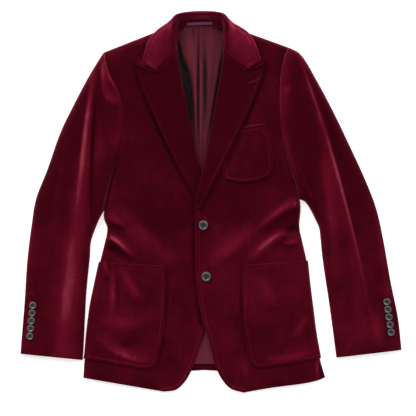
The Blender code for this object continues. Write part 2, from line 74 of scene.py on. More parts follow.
def columns_at(rows, at):
    """All columns of a table at fractional row numbers."""
    return {name: smooth(values, at) for name, values in rows.items()}


def ease(t):
    """Soft step from 0 to 1."""
    t = np.clip(t, 0, 1)
    return t * t * (3 - 2 * t)


def rounded(distance, reach):
    """Rise from 0 at an edge to 1 a reach inside it, along a quarter of an ellipse."""
    t = np.clip(distance / reach, 0, 1)
    return np.sqrt(t * (2 - t))


def turn_steps(reach, count):
    """Distances from an edge that divide its rounded turn evenly."""
    return reach * (1 - np.cos(np.linspace(0, math.pi / 2, count + 1)))


def path_distance(path, x, y):
    """Distance of plan points from a line of points, the share along it, and the side."""
    start = path[:-1]
    run = path[1:] - start
    t = ((x[..., None] - start[:, 0]) * run[:, 0] + (y[..., None] - start[:, 1]) * run[:, 1])
    t = np.clip(t / np.maximum((run ** 2).sum(1), 1e-9), 0, 1)
    off_x = x[..., None] - start[:, 0] - t * run[:, 0]
    off_y = y[..., None] - start[:, 1] - t * run[:, 1]
    square = off_x ** 2 + off_y ** 2
    best = square.argmin(-1)[..., None]
    side = np.take_along_axis(run[:, 0] * off_y - run[:, 1] * off_x, best, -1)[..., 0]
    share = (best[..., 0] + np.take_along_axis(t, best, -1)[..., 0]) / len(run)
    return np.sqrt(np.take_along_axis(square, best, -1)[..., 0]), share, side


print("quarter turn of 14 mm in 4 steps:", turn_steps(14.0, 4).round(1))

# %% [markdown]
# ## Folds
# Cloth that lies flat keeps soft ridges and troughs where it was worn and where it is
# pulled. Each fold is a curve through three points. Across the curve its height falls off
# as a bell, with its own width on each side, so one flank can be steep and the other soft.
# Along the curve it sinks to nothing at both ends. Each fold also has a painted shine: a
# painted highlight along a ridge and painted shade in a hollow. A fold of no height only
# paints a highlight or a shadow on the cloth. The shine fades out sooner than the height.

# %% Fold relief
FOLD_COLUMNS = "start_x start_y middle_x middle_y end_x end_y left right height shine"


def fold_relief(folds, x, y):
    """Height of the folds at plan points, and the painted light that they give to the cloth."""
    t = np.linspace(0, 1, 25)[:, None]
    total = np.zeros_like(x)
    painted_light = np.zeros_like(x)
    for i in range(len(folds["height"])):
        row = {name: values[i] for name, values in folds.items()}
        path = ((1 - t) * (1 - 2 * t) * (row["start_x"], row["start_y"])
                + 4 * t * (1 - t) * (row["middle_x"], row["middle_y"])
                + t * (2 * t - 1) * (row["end_x"], row["end_y"]))
        distance, share, side = path_distance(path, x, y)
        width = np.where(side > 0, row["left"], row["right"])
        across = np.exp(-(distance / width) ** 2)
        along = np.sin(math.pi * np.clip(share, 0, 1))
        total += row["height"] * along ** 0.6 * across
        # Painted highlight on a ridge, painted shade in a hollow.
        painted_light += row["shine"] * along ** 1.3 * across
    return total, painted_light


# %% [markdown]
# ## The two fronts
# Each front is cut from the shoulder to the hem. It is drawn as straight lines from its
# front edge to its side, arched a little over the lining, turned down to the table at the
# side, and turned over at the shoulder. The last lines of the hem follow the round corner
# of the cutaway. The folds at the waist come from the buttoning.

# %% Sections of the fronts
FLOOR_GAP = 0.3
SIDE_ROLL = 14.0
SHOULDER_ROLL = 16.0
SHOULDER_PITCH = 43.0
EDGE_EASE = 110.0
SHOULDER_ROW = 16
ARMPIT_ROW = 10
FRONT_COLUMNS = "edge_x edge_y edge_z side_x side_y side_z crown"
FRONT_RIGHT = table(
    FRONT_COLUMNS,
    (-98, -395, 6.5, -266, -366, 0.3, 9),
    (-73, -391, 6.5, -265, -352, 0.3, 10),
    (-54, -374, 6.5, -264, -335, 0.3, 11),
    (-40, -349, 6.5, -261, -312, 0.3, 12),
    (-25, -308, 7.0, -257, -268, 0.3, 14),
    (-10, -258, 8.0, -250.5, -218, 0.3, 16),
    (2, -200, 9.0, -241.5, -173, 0.3, 18),
    (4, -137, 9.0, -231, -125, 0.3, 19),
    (4, -95, 9.0, -223, -92, 0.3, 19),
    (3, -58, 9.0, -216, -56, 0.3, 20),
    (0, -19, 9.5, -223, -19, 0.3, 24),
    (-28, 77, 13.0, -199, 81, 17, 26),
    (-40.5, 133, 17.0, -185, 135, 22, 27),
    (-53, 196, 20.0, -181, 187, 24, 28),
    (-67, 262, 23.0, -193, 233, 24, 28),
    (-76, 320, 25.0, -214, 275, 22, 28),
    (-85, 366, 26.0, -222, 312, 20, 28),
)
FRONT_LEFT = table(
    FRONT_COLUMNS,
    (68, -397, 6.5, 238, -365, 0.3, 9),
    (42, -389, 6.5, 234, -352, 0.3, 10),
    (24, -371, 6.5, 228.5, -333, 0.3, 11),
    (9, -341, 7.0, 224.5, -312, 0.3, 12),
    (-5, -287, 11.0, 217, -270, 0.3, 15),
    (-20, -235, 14.5, 211, -223, 0.3, 18),
    (-29, -179, 16.5, 204.5, -171, 0.3, 20),
    (-32, -137, 17.0, 199, -122, 0.3, 20),
    (-33, -79, 17.0, 190, -81, 0.3, 20),
    (-33, -48, 17.5, 184, -50, 0.3, 21),
    (-32, -17, 20.0, 185, 5, 0.3, 25),
    (-9, 87, 23.0, 157, 94, 18, 28),
    (2.5, 141, 22.0, 147, 141, 22, 28),
    (14, 206, 22.0, 143, 196, 24, 28),
    (26, 275, 24.0, 144, 258, 24, 28),
    (34, 333, 25.0, 152, 302, 22, 28),
    (40, 366, 26.0, 161, 322, 20, 28),
)
FRONT_RIGHT["bow"] = np.zeros(17)
FRONT_LEFT["bow"] = np.array([4.5, 4.0, 3.0, 1.0] + [0.0] * 13)
BOW_PEAK = 0.0923
# The shine of the front folds is painted light: a painted highlight on a ridge, painted shade in a hollow.
# Rows of no height only paint: the negative ones are painted shadows beside the other front's edge, the
# lapels' edges, the pockets' edges and at the hem corner, and the positive ones lighten the shaded notch
# below the collar's end.
FRONT_RIGHT_FOLDS = table(
    FOLD_COLUMNS,
    (-226, -74, -197, -85, -164, -120, 8, 4, 7, 0.56),
    (-224, -93, -203, -101, -176, -124, 7, 10, -4, -0.34),
    (-206, -22, -150, -70, -70, -144, 20, 24, 3, 0.20),
    (-218, -26, -202, -42, -176, -54, 9, 6, 3.5, 0.20),
    (-150, 170, -152, 90, -140, 0, 22, 22, 2.0, 0),
    (-111, 20, -111, -50, -110, -118, 2, 2, -0.6, 0.12),
    (-222, -124, -219, -140, -214, -160, 4, 5, 2.0, 0.34),
    (-204, -126, -205, -190, -207, -256, 7, 5, 2.0, 0.34),
    (-195, -150, -194, -195, -194, -240, 5, 5, -1.5, -0.22),
    (-186, -138, -168, -174, -144, -214, 7, 10, 2.0, 0.32),
    (-130, -178, -128, -205, -132, -232, 10, 10, -1.2, -0.12),
    (-238, -244, -190, -256, -128, -256, 14, 12, 1.4, 0.22),
    (-236, -284, -186, -320, -116, -336, 14, 5, 1.5, 0.40),
    (-150, -285, -170, -298, -196, -300, 9, 9, -1.2, -0.16),
    (-36, -18, -37, -100, -33, -188, 4, 4, 0, -0.40),
    (-33, -186, -23, -240, -8, -288, 4, 4, 0, -0.40),
    (-38, 4, -104, 138, -167, 290, 3.5, 3.5, 0, -0.30),
    (-91, -128, -93, -205, -97, -276, 3.5, 3.5, 0, -0.30),
    (-154, 294, -141, 287, -126, 279, 6, 6, 0, 0.50),
    (-97, -262, -101, -300, -116, -326, 3.5, 3.5, 0, -0.30),
)
FRONT_LEFT_FOLDS = table(
    FOLD_COLUMNS,
    (184, 2, 146, -20, 98, -60, 10, 8, 5, 0.38),
    (180, 4, 174, -8, 165, -21, 4, 3, 3, 0.40),
    (162, -64, 122, -84, 80, -128, 12, 7, 5, 0.38),
    (186, -79, 170, -86, 148, -88, 5, 5, 2.5, 0.18),
    (190, -44, 178, -56, 150, -64, 8, 8, -4, -0.32),
    (96, -54, 45, -97, -6, -136, 14, 19, 3, 0.29),
    (79, -20, 79, -70, 80, -118, 2, 2, -0.6, 0.12),
    (220, -326, 221, -352, 222, -380, 5, 3, 3.0, 0.40),
    (226, -328, 229, -354, 232, -384, 7, 4, 0, -0.45),
    (122, 20, 104, -60, 96, -150, 20, 20, 1.0, 0),
    (96, -158, 114, -188, 130, -226, 12, 12, 1.4, 0.20),
    (172, -288, 186, -262, 202, -236, 8, 8, 1.2, 0.24),
    (106, -334, 165, -326, 220, -314, 9, 5, 1.2, 0.30),
    (66, -330, 70, -350, 76, -372, 6, 6, 1.0, 0.20),
    (-14, -15, 61, 139, 121, 297, 3.5, 3.5, 0, -0.28),
    (66, -124, 64, -225, 72, -312, 3.5, 3.5, 0, -0.30),
    (111, 293, 98, 287, 83, 280, 6, 6, 0, 0.45),
    (-18, -38, -12, -36, -4, -44, 3, 3, 0.8, 0.30),
)


def front_surface(front, folds, row, across):
    """Face of a front, and the painted light of its folds at each point.

    Each section is a straight line from edge to side. Its height is the crown, less a soft
    fall to the front edge, less a quarter ellipse at the side and at the shoulder.
    """
    at = columns_at(front, row)
    x = at["edge_x"] + (at["side_x"] - at["edge_x"]) * across
    y = at["edge_y"] + (at["side_y"] - at["edge_y"]) * across
    y = y - at["bow"] * across ** 3.5 * (1 - across) / BOW_PEAK
    length = np.hypot(at["side_x"] - at["edge_x"], at["side_y"] - at["edge_y"])
    turn = rounded((1 - across) * length, SIDE_ROLL)
    side_z = np.maximum(at["side_z"], FLOOR_GAP)
    z = side_z + (at["crown"] - side_z) * turn
    z = z - (at["crown"] - at["edge_z"]) * (1 - ease(across * length / EDGE_EASE))
    relief, painted_light = fold_relief(folds, x, y)
    z = z + relief * turn
    shoulder = rounded((SHOULDER_ROW - row) * SHOULDER_PITCH, SHOULDER_ROLL)
    return np.stack([x, y, FLOOR_GAP + (z - FLOOR_GAP) * shoulder], -1), painted_light


def front_length(front, row):
    """Straight length of a front's sections."""
    at = columns_at(front, row)
    return np.hypot(at["side_x"] - at["edge_x"], at["side_y"] - at["edge_y"])


def locate(front, x, y):
    """Section and share across of plan points on a front, the section found by halving."""
    low = np.zeros_like(x)
    high = np.full_like(x, SHOULDER_ROW)
    for _ in range(30):
        row = (low + high) / 2
        at = columns_at(front, row)
        run_x = at["side_x"] - at["edge_x"]
        run_y = at["side_y"] - at["edge_y"]
        over = (run_x * (y - at["edge_y"]) - run_y * (x - at["edge_x"])) * np.sign(run_x) > 0
        low = np.where(over, row, low)
        high = np.where(over, high, row)
    share = ((x - at["edge_x"]) * run_x + (y - at["edge_y"]) * run_y) / (run_x ** 2 + run_y ** 2)
    return row, np.clip(share, 0, 1)


def front_face(front, folds, x, y):
    """Height of a front's face and the painted light of its folds at plan points."""
    points, painted_light = front_surface(front, folds, *locate(front, x, y))
    return points[..., 2], painted_light


def front_normals(front, folds, row, across):
    """Unit normals of a front's face, from its change over a small step each way."""
    along = front_surface(front, folds, row + 0.03, across)[0]
    along = along - front_surface(front, folds, row - 0.03, across)[0]
    over = front_surface(front, folds, row, across + 0.002)[0]
    over = over - front_surface(front, folds, row, across - 0.002)[0]
    normal = np.cross(along, over)
    normal /= np.maximum(np.linalg.norm(normal, axis=-1, keepdims=True), 1e-9)
    return normal * np.sign(normal[..., 2].sum())


# %% [markdown]
# ## Cloth with a thickness
# A panel is a face, the same face moved in by the thickness of the cloth, and a rim that
# closes them. Next to a stitched edge the cloth is puffed by the seam allowance inside it,
# and the row of stitches pulls a groove. Two values go along with the points for the
# finish: the cloth's tone with its painted light and shade, and how near a point is to a
# row of stitches, where the pressed pile is drawn lighter, and to a folded edge, which
# gets a painted sheen.

# %% Shells of cloth
VELVET = 2.0
SATIN = 1.0
STITCH_IN = 8.0
EDGE_STEPS = np.array([0, 0.25, 0.7, 1.3, 2.2, 3.4, 4.8, 6.0, 6.9, 7.5, 8.0, 8.5, 9.1, 10.0, 11.5, 14.0])


def normals(points):
    """Unit normals of a grid of points, on the side that faces up."""
    normal = np.cross(np.gradient(points, axis=0), np.gradient(points, axis=1))
    normal /= np.maximum(np.linalg.norm(normal, axis=-1, keepdims=True), 1e-9)
    return normal * np.sign(normal[..., 2].sum())


def sewn_edge(points, outline, fade=1.0):
    """Points near an outline puffed, grooved along the stitches and rounded at the very edge.

    The second result lightens the colour along the stitches, where they press the pile, and at the folded
    edge, as a painted sheen.
    """
    distance = path_distance(outline[:, :2], points[..., 0], points[..., 1])[0]
    line = np.exp(-((distance - STITCH_IN) / 0.9) ** 2)
    # A painted sheen along the very edge.
    edge = np.exp(-(distance / 1.5) ** 2)
    lift = 0.35 * np.exp(-((distance - 4.2) / 2.6) ** 2) - 0.45 * line - 0.7 * (1 - rounded(distance, 1.6))
    up = np.array([0, 0, 1.0])
    return points + (fade * lift)[..., None] * up, fade * (line + 0.8 * edge)


def link_mesh(name, points, faces, finish, caps=()):
    """A mesh object from points in millimetres, with smooth faces turned outward, its ends capped."""
    corner = points[faces[:, 0]], points[faces[:, 1]], points[faces[:, 2]], points[faces[:, -1]]
    volume = (corner[0] * np.cross(corner[1], corner[2])).sum()
    volume += (corner[0] * np.cross(corner[2], corner[3])).sum()
    every_face = faces.tolist() + [list(cap) for cap in caps]
    if volume < 0:
        every_face = [face[::-1] for face in every_face]
    mesh = bpy.data.meshes.new(name)
    mesh.from_pydata((points * MM).tolist(), [], every_face)
    mesh.polygons.foreach_set("use_smooth", np.ones(len(every_face), bool))
    mesh.materials.append(finish)
    piece = bpy.data.objects.new(name, mesh)
    bpy.context.collection.objects.link(piece)
    return piece


def painted_light_by_tilt(points, painted_light, painted_light_side=(0, 1)):
    """Tone and painted light of the velvet, from 0 to 1, and below 0 where folds paint shade.

    A painted highlight is put where the face tilts towards the given side, up the panel unless
    another is given, and along the top of a ridge, and a painted sheen where a face is steep.
    Folds also paint shade in hollows. The cloth is drawn a little lighter on the skirt of the
    jacket than on the chest.
    """
    tilt = normals(points)
    # Painted highlight where the face tilts towards the painted light's side, painted sheen where it is
    # steep.
    lean = (tilt[..., :2] * painted_light_side).sum(-1) * tilt[..., 2] ** 2
    steep = np.clip(1 - tilt[..., 2], 0, 1) ** 3
    ridge = 0 if painted_light is None else painted_light
    below = 0.13 * ease((60 - points[..., 1]) / 250)
    return np.clip(0.01 + below + 0.85 * lean + 0.8 * steep + ridge, -0.5, 1)


def crisp_rim(mesh, pairs):
    """Mark the two outlines of a sheet as sharp, so its rim doesn't shade its face."""
    ends = np.zeros(len(mesh.edges) * 2, int)
    mesh.edges.foreach_get("vertices", ends)
    count = len(mesh.vertices)
    keys = np.sort(ends.reshape(-1, 2), 1) @ (count, 1)
    sharp = np.isin(keys, np.sort(pairs, 1) @ (count, 1))
    mesh.attributes.new("sharp_edge", "BOOLEAN", "EDGE").data.foreach_set("value", sharp)


def shell(name, points, thickness, finish, painted_light=None, stitch_and_painted_sheen=None, facing=None, tone_and_painted_light=None):
    """Closed sheet: the face, the face moved in along its normals, and the rim between them."""
    facing = normals(points) if facing is None else facing
    tone_and_painted_light = painted_light_by_tilt(points, painted_light) if tone_and_painted_light is None else tone_and_painted_light
    rows, columns = points.shape[:2]
    number = np.arange(rows * columns).reshape(rows, columns)
    face = np.stack([number[:-1, :-1], number[1:, :-1], number[1:, 1:], number[:-1, 1:]], -1).reshape(-1, 4)
    loop = np.concatenate([number[0, :-1], number[:-1, -1], number[-1, :0:-1], number[:0:-1, 0]])
    ahead = np.roll(loop, -1)
    rim = np.stack([loop, ahead, ahead + rows * columns, loop + rows * columns], -1)
    inner = points - thickness * facing
    inner[..., 2] = np.maximum(inner[..., 2], 0)
    both = np.concatenate([points.reshape(-1, 3), inner.reshape(-1, 3)])
    piece = link_mesh(name, both, np.concatenate([face, face[:, ::-1] + rows * columns, rim]), finish)
    upper_rim = np.stack([loop, ahead], 1)
    crisp_rim(piece.data, np.concatenate([upper_rim, upper_rim + rows * columns]))
    for key, values in (("tone_and_painted_light", tone_and_painted_light), ("stitch_and_painted_sheen", stitch_and_painted_sheen)):
        data = np.zeros(rows * columns) if values is None else values.reshape(-1)
        layer = piece.data.attributes.new(key, "FLOAT", "POINT")
        layer.data.foreach_set("value", np.concatenate([data, data]).astype(np.float32))
    return piece


def cloth_area(piece):
    """Area of one side of a closed sheet, in square metres."""
    areas = np.zeros(len(piece.data.polygons))
    piece.data.polygons.foreach_get("area", areas)
    return areas.sum() / 2


def lay(piece, node, area):
    """Hang a sheet of cloth on the root, hide the solid that it stands for, and print its area and the cut it
    was made from.
    """
    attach(piece, "root")
    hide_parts(node)
    print(piece.name, "cloth", round(cloth_area(piece), 4), "m2, cut", area)


# %% [markdown]
# ## Velvet
# Velvet has a short pile that stands up. Seen straight on, light sinks between the fibres
# and the cloth is dark. Seen along its slope, the sides of the fibres shine, so flanks of
# folds and turned edges are bright. Here that light is painted into the colour: a value on
# the cloth itself, worked out from its tilt and its folds, gives the painted highlights and
# painted sheen, and a sheen layer adds the bright rim. Where that value is below zero it is
# painted shade, in creases and beside edges, and the cloth is almost black. Soft patches and
# fine streaks down the cloth show where the pile was brushed another way.

# %% Velvet finish
# Near-black colour of painted shade, in creases and beside edges.
PAINTED_SHADE_BLACK = (0.011, 0.0004, 0.0018, 1)


def add_node(tree, kind, **values):
    """A shader node with its plain settings and its socket values."""
    node = tree.nodes.new(kind)
    for key, value in values.items():
        if hasattr(node, key):
            setattr(node, key, value)
        else:
            node.inputs[key.replace("_", " ")].default_value = value
    return node


def math_node(tree, operation, first, second):
    """One sum in the shader tree. Each input is a socket or a number."""
    node = add_node(tree, "ShaderNodeMath", operation=operation)
    for socket, value in zip(node.inputs, (first, second)):
        if isinstance(value, (int, float)):
            socket.default_value = value
        else:
            tree.links.new(value, socket)
    return node.outputs[0]


def mix_colour(tree, share, first, second):
    """Mix of two colours by a share that varies over the cloth."""
    node = add_node(tree, "ShaderNodeMix", data_type="RGBA")
    tree.links.new(share, node.inputs[0])
    for socket, value in zip(node.inputs[6:8], (first, second)):
        if isinstance(value, tuple):
            socket.default_value = value
        else:
            tree.links.new(value, socket)
    return node.outputs[2]


def velvet(name, deep, middle, bright, sheen, sheen_tint):
    """Pile cloth: deep to bright by its tone and painted light, near black in painted shade, streaked, with
    sheen.
    """
    finish = bpy.data.materials.new(name)
    finish.use_nodes = True
    tree = finish.node_tree
    shader = tree.nodes["Principled BSDF"]
    place = add_node(tree, "ShaderNodeTexCoord").outputs["Object"]
    along = add_node(tree, "ShaderNodeMapping", Scale=(1.0, 0.12, 1.0))
    tree.links.new(place, along.inputs["Vector"])
    patches = add_node(tree, "ShaderNodeTexNoise", Scale=13.0, Detail=5.0, Roughness=0.62)
    streaks = add_node(tree, "ShaderNodeTexNoise", Scale=170.0, Detail=3.0)
    flecks = add_node(tree, "ShaderNodeTexNoise", Scale=520.0, Detail=2.0)
    pile = add_node(tree, "ShaderNodeTexNoise", Scale=1500.0, Detail=1.0)
    for noise in (patches, flecks, pile):
        tree.links.new(place, noise.inputs["Vector"])
    tree.links.new(along.outputs["Vector"], streaks.inputs["Vector"])
    # The cloth's tone with its painted light and shade, and its stitch lines with a painted sheen on folded
    # edges.
    tone_and_painted_light = add_node(tree, "ShaderNodeAttribute", attribute_name="tone_and_painted_light").outputs["Fac"]
    stitch_and_painted_sheen = add_node(tree, "ShaderNodeAttribute", attribute_name="stitch_and_painted_sheen").outputs["Fac"]
    share = math_node(tree, "ADD", tone_and_painted_light, math_node(tree, "MULTIPLY", stitch_and_painted_sheen, 0.30))
    for noise, amount in ((patches, 0.62), (streaks, 0.16), (flecks, 0.26)):
        offset = math_node(tree, "SUBTRACT", noise.outputs["Fac"], 0.5)
        share = math_node(tree, "ADD", share, math_node(tree, "MULTIPLY", offset, amount))
    share = math_node(tree, "MINIMUM", math_node(tree, "MAXIMUM", share, 0.0), 1.0)
    lower = math_node(tree, "MINIMUM", math_node(tree, "MULTIPLY", share, 2.2), 1.0)
    raised = math_node(tree, "SUBTRACT", math_node(tree, "MULTIPLY", share, 1.8), 0.8)
    upper = math_node(tree, "MAXIMUM", raised, 0.0)
    colour = mix_colour(tree, upper, mix_colour(tree, lower, deep, middle), bright)
    # Painted shade: the colour goes to near black where the painted light is below zero.
    painted_shade = math_node(tree, "MULTIPLY", math_node(tree, "ADD", tone_and_painted_light, 0.08), -2.6)
    painted_shade = math_node(tree, "MINIMUM", math_node(tree, "MAXIMUM", painted_shade, 0.0), 1.0)
    colour = mix_colour(tree, painted_shade, colour, PAINTED_SHADE_BLACK)
    tree.links.new(colour, shader.inputs["Base Color"])
    bump = add_node(tree, "ShaderNodeBump", Strength=0.25, Distance=0.0006)
    tree.links.new(pile.outputs["Fac"], bump.inputs["Height"])
    tree.links.new(bump.outputs["Normal"], shader.inputs["Normal"])
    shader.inputs["Roughness"].default_value = 0.9
    shader.inputs["Specular IOR Level"].default_value = 0.02
    shader.inputs["Sheen Weight"].default_value = sheen
    shader.inputs["Sheen Roughness"].default_value = 0.28
    shader.inputs["Sheen Tint"].default_value = sheen_tint
    return finish


velvet_body = velvet("velvet_body", (0.040, 0.0006, 0.0042, 1), (0.110, 0.0032, 0.0125, 1),
                     (0.33, 0.056, 0.082, 1), 0.28, (1.0, 0.22, 0.30, 1))
# The collar's velvet is the body's cloth drawn lighter: painted light for the way its turned pile catches the
# light.
velvet_painted_lighter = velvet("velvet_painted_lighter", (0.060, 0.0012, 0.0075, 1), (0.145, 0.0060, 0.022, 1),
                       (0.34, 0.048, 0.085, 1), 0.34, (1.0, 0.24, 0.36, 1))
print("velvet finishes:", velvet_body.name, velvet_painted_lighter.name)

# %% [markdown]
# ## Making the fronts
# The rows are closer together at the hem and in the turn of the shoulder, and the columns
# at the stitched front edge and in the turn of the side, so the small shapes there have
# enough points.

# %% Fronts
HEM_STEPS = np.array([0, 0.012, 0.035, 0.07, 0.11, 0.16, 0.22])
SHOULDER_PAINTED_SHADE = 0.28


def front_grid(front, rows, start, start_steps, count):
    """Section numbers and shares across, closer together at the start and in the side turn."""
    length = front_length(front, rows)
    near = start + start_steps / length
    far = 1 - turn_steps(SIDE_ROLL, 10)[::-1] / length
    middle = near[:, -1:] + (far[:, :1] - near[:, -1:]) * np.linspace(0, 1, count + 1)[1:-1]
    across = np.concatenate([near, middle, far], 1)
    return rows + 0 * across, across


def make_front(name, node, front, folds, area):
    """One front, with its stitched edge below the lapel."""
    turn = SHOULDER_ROW - turn_steps(SHOULDER_ROLL, 8)[::-1] / SHOULDER_PITCH
    rows = np.concatenate([HEM_STEPS, np.linspace(0.3, turn[0], 170)[:-1], turn])[:, None]
    row, across = front_grid(front, rows, 0.0, EDGE_STEPS, 66)
    points, painted_light = front_surface(front, folds, row, across)
    points, stitch_and_painted_sheen = sewn_edge(points, points[rows[:, 0] <= ARMPIT_ROW, 0], ease(row / 0.8))
    points[..., 2] = np.maximum(points[..., 2] - 0.8 * (1 - rounded(row * 16.0, 2.0)), FLOOR_GAP)
    # A painted sheen along the turned edge of the hem.
    stitch_and_painted_sheen = stitch_and_painted_sheen + np.exp(-(row * 16.0 / 1.5) ** 2)
    from_shoulder = (SHOULDER_ROW - row) * SHOULDER_PITCH
    # A painted shade band in the turn of the shoulder.
    painted_light = painted_light - SHOULDER_PAINTED_SHADE * np.exp(-((from_shoulder - 8.0) / 6.0) ** 2)
    piece = shell(name, points, VELVET, velvet_body, painted_light, stitch_and_painted_sheen)
    lay(piece, node, area)
    return piece, points


front_right, front_right_points = make_front(
    "cloth_front_right", "front_right", FRONT_RIGHT, FRONT_RIGHT_FOLDS, 0.156)
front_left, front_left_points = make_front(
    "cloth_front_left", "front_left", FRONT_LEFT, FRONT_LEFT_FOLDS, 0.152)

# %% [markdown]
# ## Sleeves
# A sleeve is cut in two, a top sleeve and an under sleeve. The top one starts along the
# curve of the armhole, where it is eased in and stands up a little from the seam. It then
# arches over the arm's hollow and turns down to the table on both sides. The under sleeve
# lies flat below it. Away from the armpit it reaches nearly to the turned edges, so that the
# cuff is open in front and closed at its corners.

# %% Sections of the sleeves
SLEEVE_ROLL = 30.0
SEAM_GAP = 0.4
SHOULDER_NOTCH = 1.0
SLEEVE_COLUMNS = "inner_x inner_y outer_x outer_y crown share"
SLEEVE_RIGHT = table(
    SLEEVE_COLUMNS,
    (-223, -19, -222, 312, 28, 1.0),
    (-231, -33, -252, 266, 29, 0.85),
    (-238.5, -50, -285, 204, 28, 0.55),
    (-245.5, -68, -314, 144, 26, 0.28),
    (-250.5, -87, -341, 67, 24, 0.10),
    (-252, -114, -364, 8, 22, 0.0),
    (-256, -152, -374, -50, 20, 0.0),
    (-260, -198, -383, -125, 18, 0.0),
    (-263, -256, -388, -204, 16, 0.0),
    (-265, -297, -393, -266, 15, 0.0),
    (-267, -329, -397, -316, 14, 0.0),
)
SLEEVE_LEFT = table(
    SLEEVE_COLUMNS,
    (185, 5, 161, 322, 28, 1.0),
    (196, 0, 189, 305, 29, 0.9),
    (207, -16, 221, 252, 28, 0.6),
    (217, -36, 256, 186, 26, 0.3),
    (225, -54, 289, 117, 24, 0.10),
    (228, -77, 318.5, 53, 22, 0.0),
    (231, -108, 343.5, -11, 20, 0.0),
    (237, -152, 359, -79, 18, 0.0),
    (245, -204, 374, -164, 16, 0.0),
    (253, -262, 389.5, -241, 15, 0.0),
    (261, -324, 397, -308, 14, 0.0),
)
# The shine of the sleeve folds is painted light too. Rows of no height paint broad highlights down the
# sleeve, along its outer edge and along the armhole seam.
SLEEVE_RIGHT_FOLDS = table(
    FOLD_COLUMNS,
    (-240, 300, -262, 157, -284, -40, 9, 3.5, 4, 0.64),
    (-272, 84, -297, -90, -316, -330, 18, 16, 4, 0.04),
    (-250, 190, -284, -60, -318, -345, 24, 13, 0, 0.31),
    (-284, -60, -308, -260, -332, -480, 30, 13, 0, 0.27),
    (-350, 40, -377, -80, -387, -200, 5, 5, 0, 0.16),
    (-236, 268, -248, 96, -249, -62, 3.5, 3.5, -4, -0.50),
    (-226, 297, -227, 268, -223, 226, 7, 3, 3, 0.42),
    (-227, 240, -213, 213, -186, 206, 7, 5, 3, 0.40),
    (-345, 30, -318, 2, -276, -14, 12, 12, 0.4, 0),
    (-226, 196, -232, 110, -234, 20, 14, 16, 0, 0.12),
    (-223, 276, -206, 250, -187, 218, 1.8, 1.8, 0, 0.40),
    (-330, 130, -354, 0, -368, -160, 14, 12, -1.5, -0.10),
    (-300, 150, -318, 40, -332, -90, 9, 9, 1.0, 0.10),
    (-384, -192, -388, -245, -393, -306, 1.6, 1.6, -0.8, -0.3),
    (-384, -184, -376, -192, -366, -194, 4, 4, 1.2, 0.2),
)
SLEEVE_LEFT_FOLDS = table(
    FOLD_COLUMNS,
    (172, 336, 274.6, 18, 343, -300, 2.6, 4, 3, 0.40),
    (187, 302, 269, 36, 328, -236, 3.5, 20, 4, 0.26),
    (218, 238, 258, 124, 296, 8, 8, 5, -1.5, -0.20),
    (234, 104, 249, -10, 266, -180, 12, 10, 3, 0.32),
    (176, 318, 208, 232, 236, 146, 2.6, 3.5, 0.5, 0.34),
    (174, 86, 207, 32, 224, -54, 2.2, 2.2, -1.5, -0.22),
    (170, 86, 203, 32, 220, -50, 2.2, 2.2, 0.5, 0.16),
    (168, 240, 160, 230, 150, 224, 7, 7, 1.5, 0.24),
    (318, 46, 296, 24, 266, 12, 12, 12, 0.4, 0),
    (338, -225, 346, -268, 352, -314, 10, 10, 2.0, 0.32),
    (300, -160, 312, -230, 322, -312, 14, 14, 1.0, 0.14),
    (378, -186, 385, -240, 393, -300, 1.6, 1.6, -0.8, -0.3),
    (333, 6, 352, -80, 364, -186, 4, 5, 0, 0.16),
)
TUCK = 3.0


def sleeve_length(sleeve, row):
    """Straight length of a sleeve's sections."""
    at = columns_at(sleeve, row)
    return np.hypot(at["outer_x"] - at["inner_x"], at["outer_y"] - at["inner_y"])


def sleeve_surface(sleeve, folds, front, front_folds, row, across):
    """Face of a sleeve and the painted light of its folds.

    A section joins the inner edge to the outer one and keeps a share of the armhole's bow.
    Its height is the crown between two quarter ellipses, grown from the armhole's own height.
    """
    at = columns_at(sleeve, row)
    arm_row = ARMPIT_ROW + (SHOULDER_ROW - ARMPIT_ROW) * across
    arm = front_surface(front, front_folds, arm_row, np.ones_like(arm_row))[0]
    bow_x = arm[..., 0] - (sleeve["inner_x"][0] * (1 - across) + sleeve["outer_x"][0] * across)
    bow_y = arm[..., 1] - (sleeve["inner_y"][0] * (1 - across) + sleeve["outer_y"][0] * across)
    gap = (SEAM_GAP + SHOULDER_NOTCH * across ** 8) * np.clip(1 - row, 0, 1)
    x = at["inner_x"] + (at["outer_x"] - at["inner_x"]) * across + at["share"] * bow_x
    x = x + np.sign(at["outer_x"]) * gap
    y = at["inner_y"] + (at["outer_y"] - at["inner_y"]) * across + at["share"] * bow_y
    length = sleeve_length(sleeve, row)
    turn = rounded(across * length, SLEEVE_ROLL) * rounded((1 - across) * length, SLEEVE_ROLL)
    relief, painted_light = fold_relief(folds, x, y)
    z = FLOOR_GAP + (at["crown"] - FLOOR_GAP + relief) * turn
    z = arm[..., 2] + (z - arm[..., 2]) * rounded(row, 1.0)
    return np.stack([x, y, z], -1), painted_light


# %% Sleeves


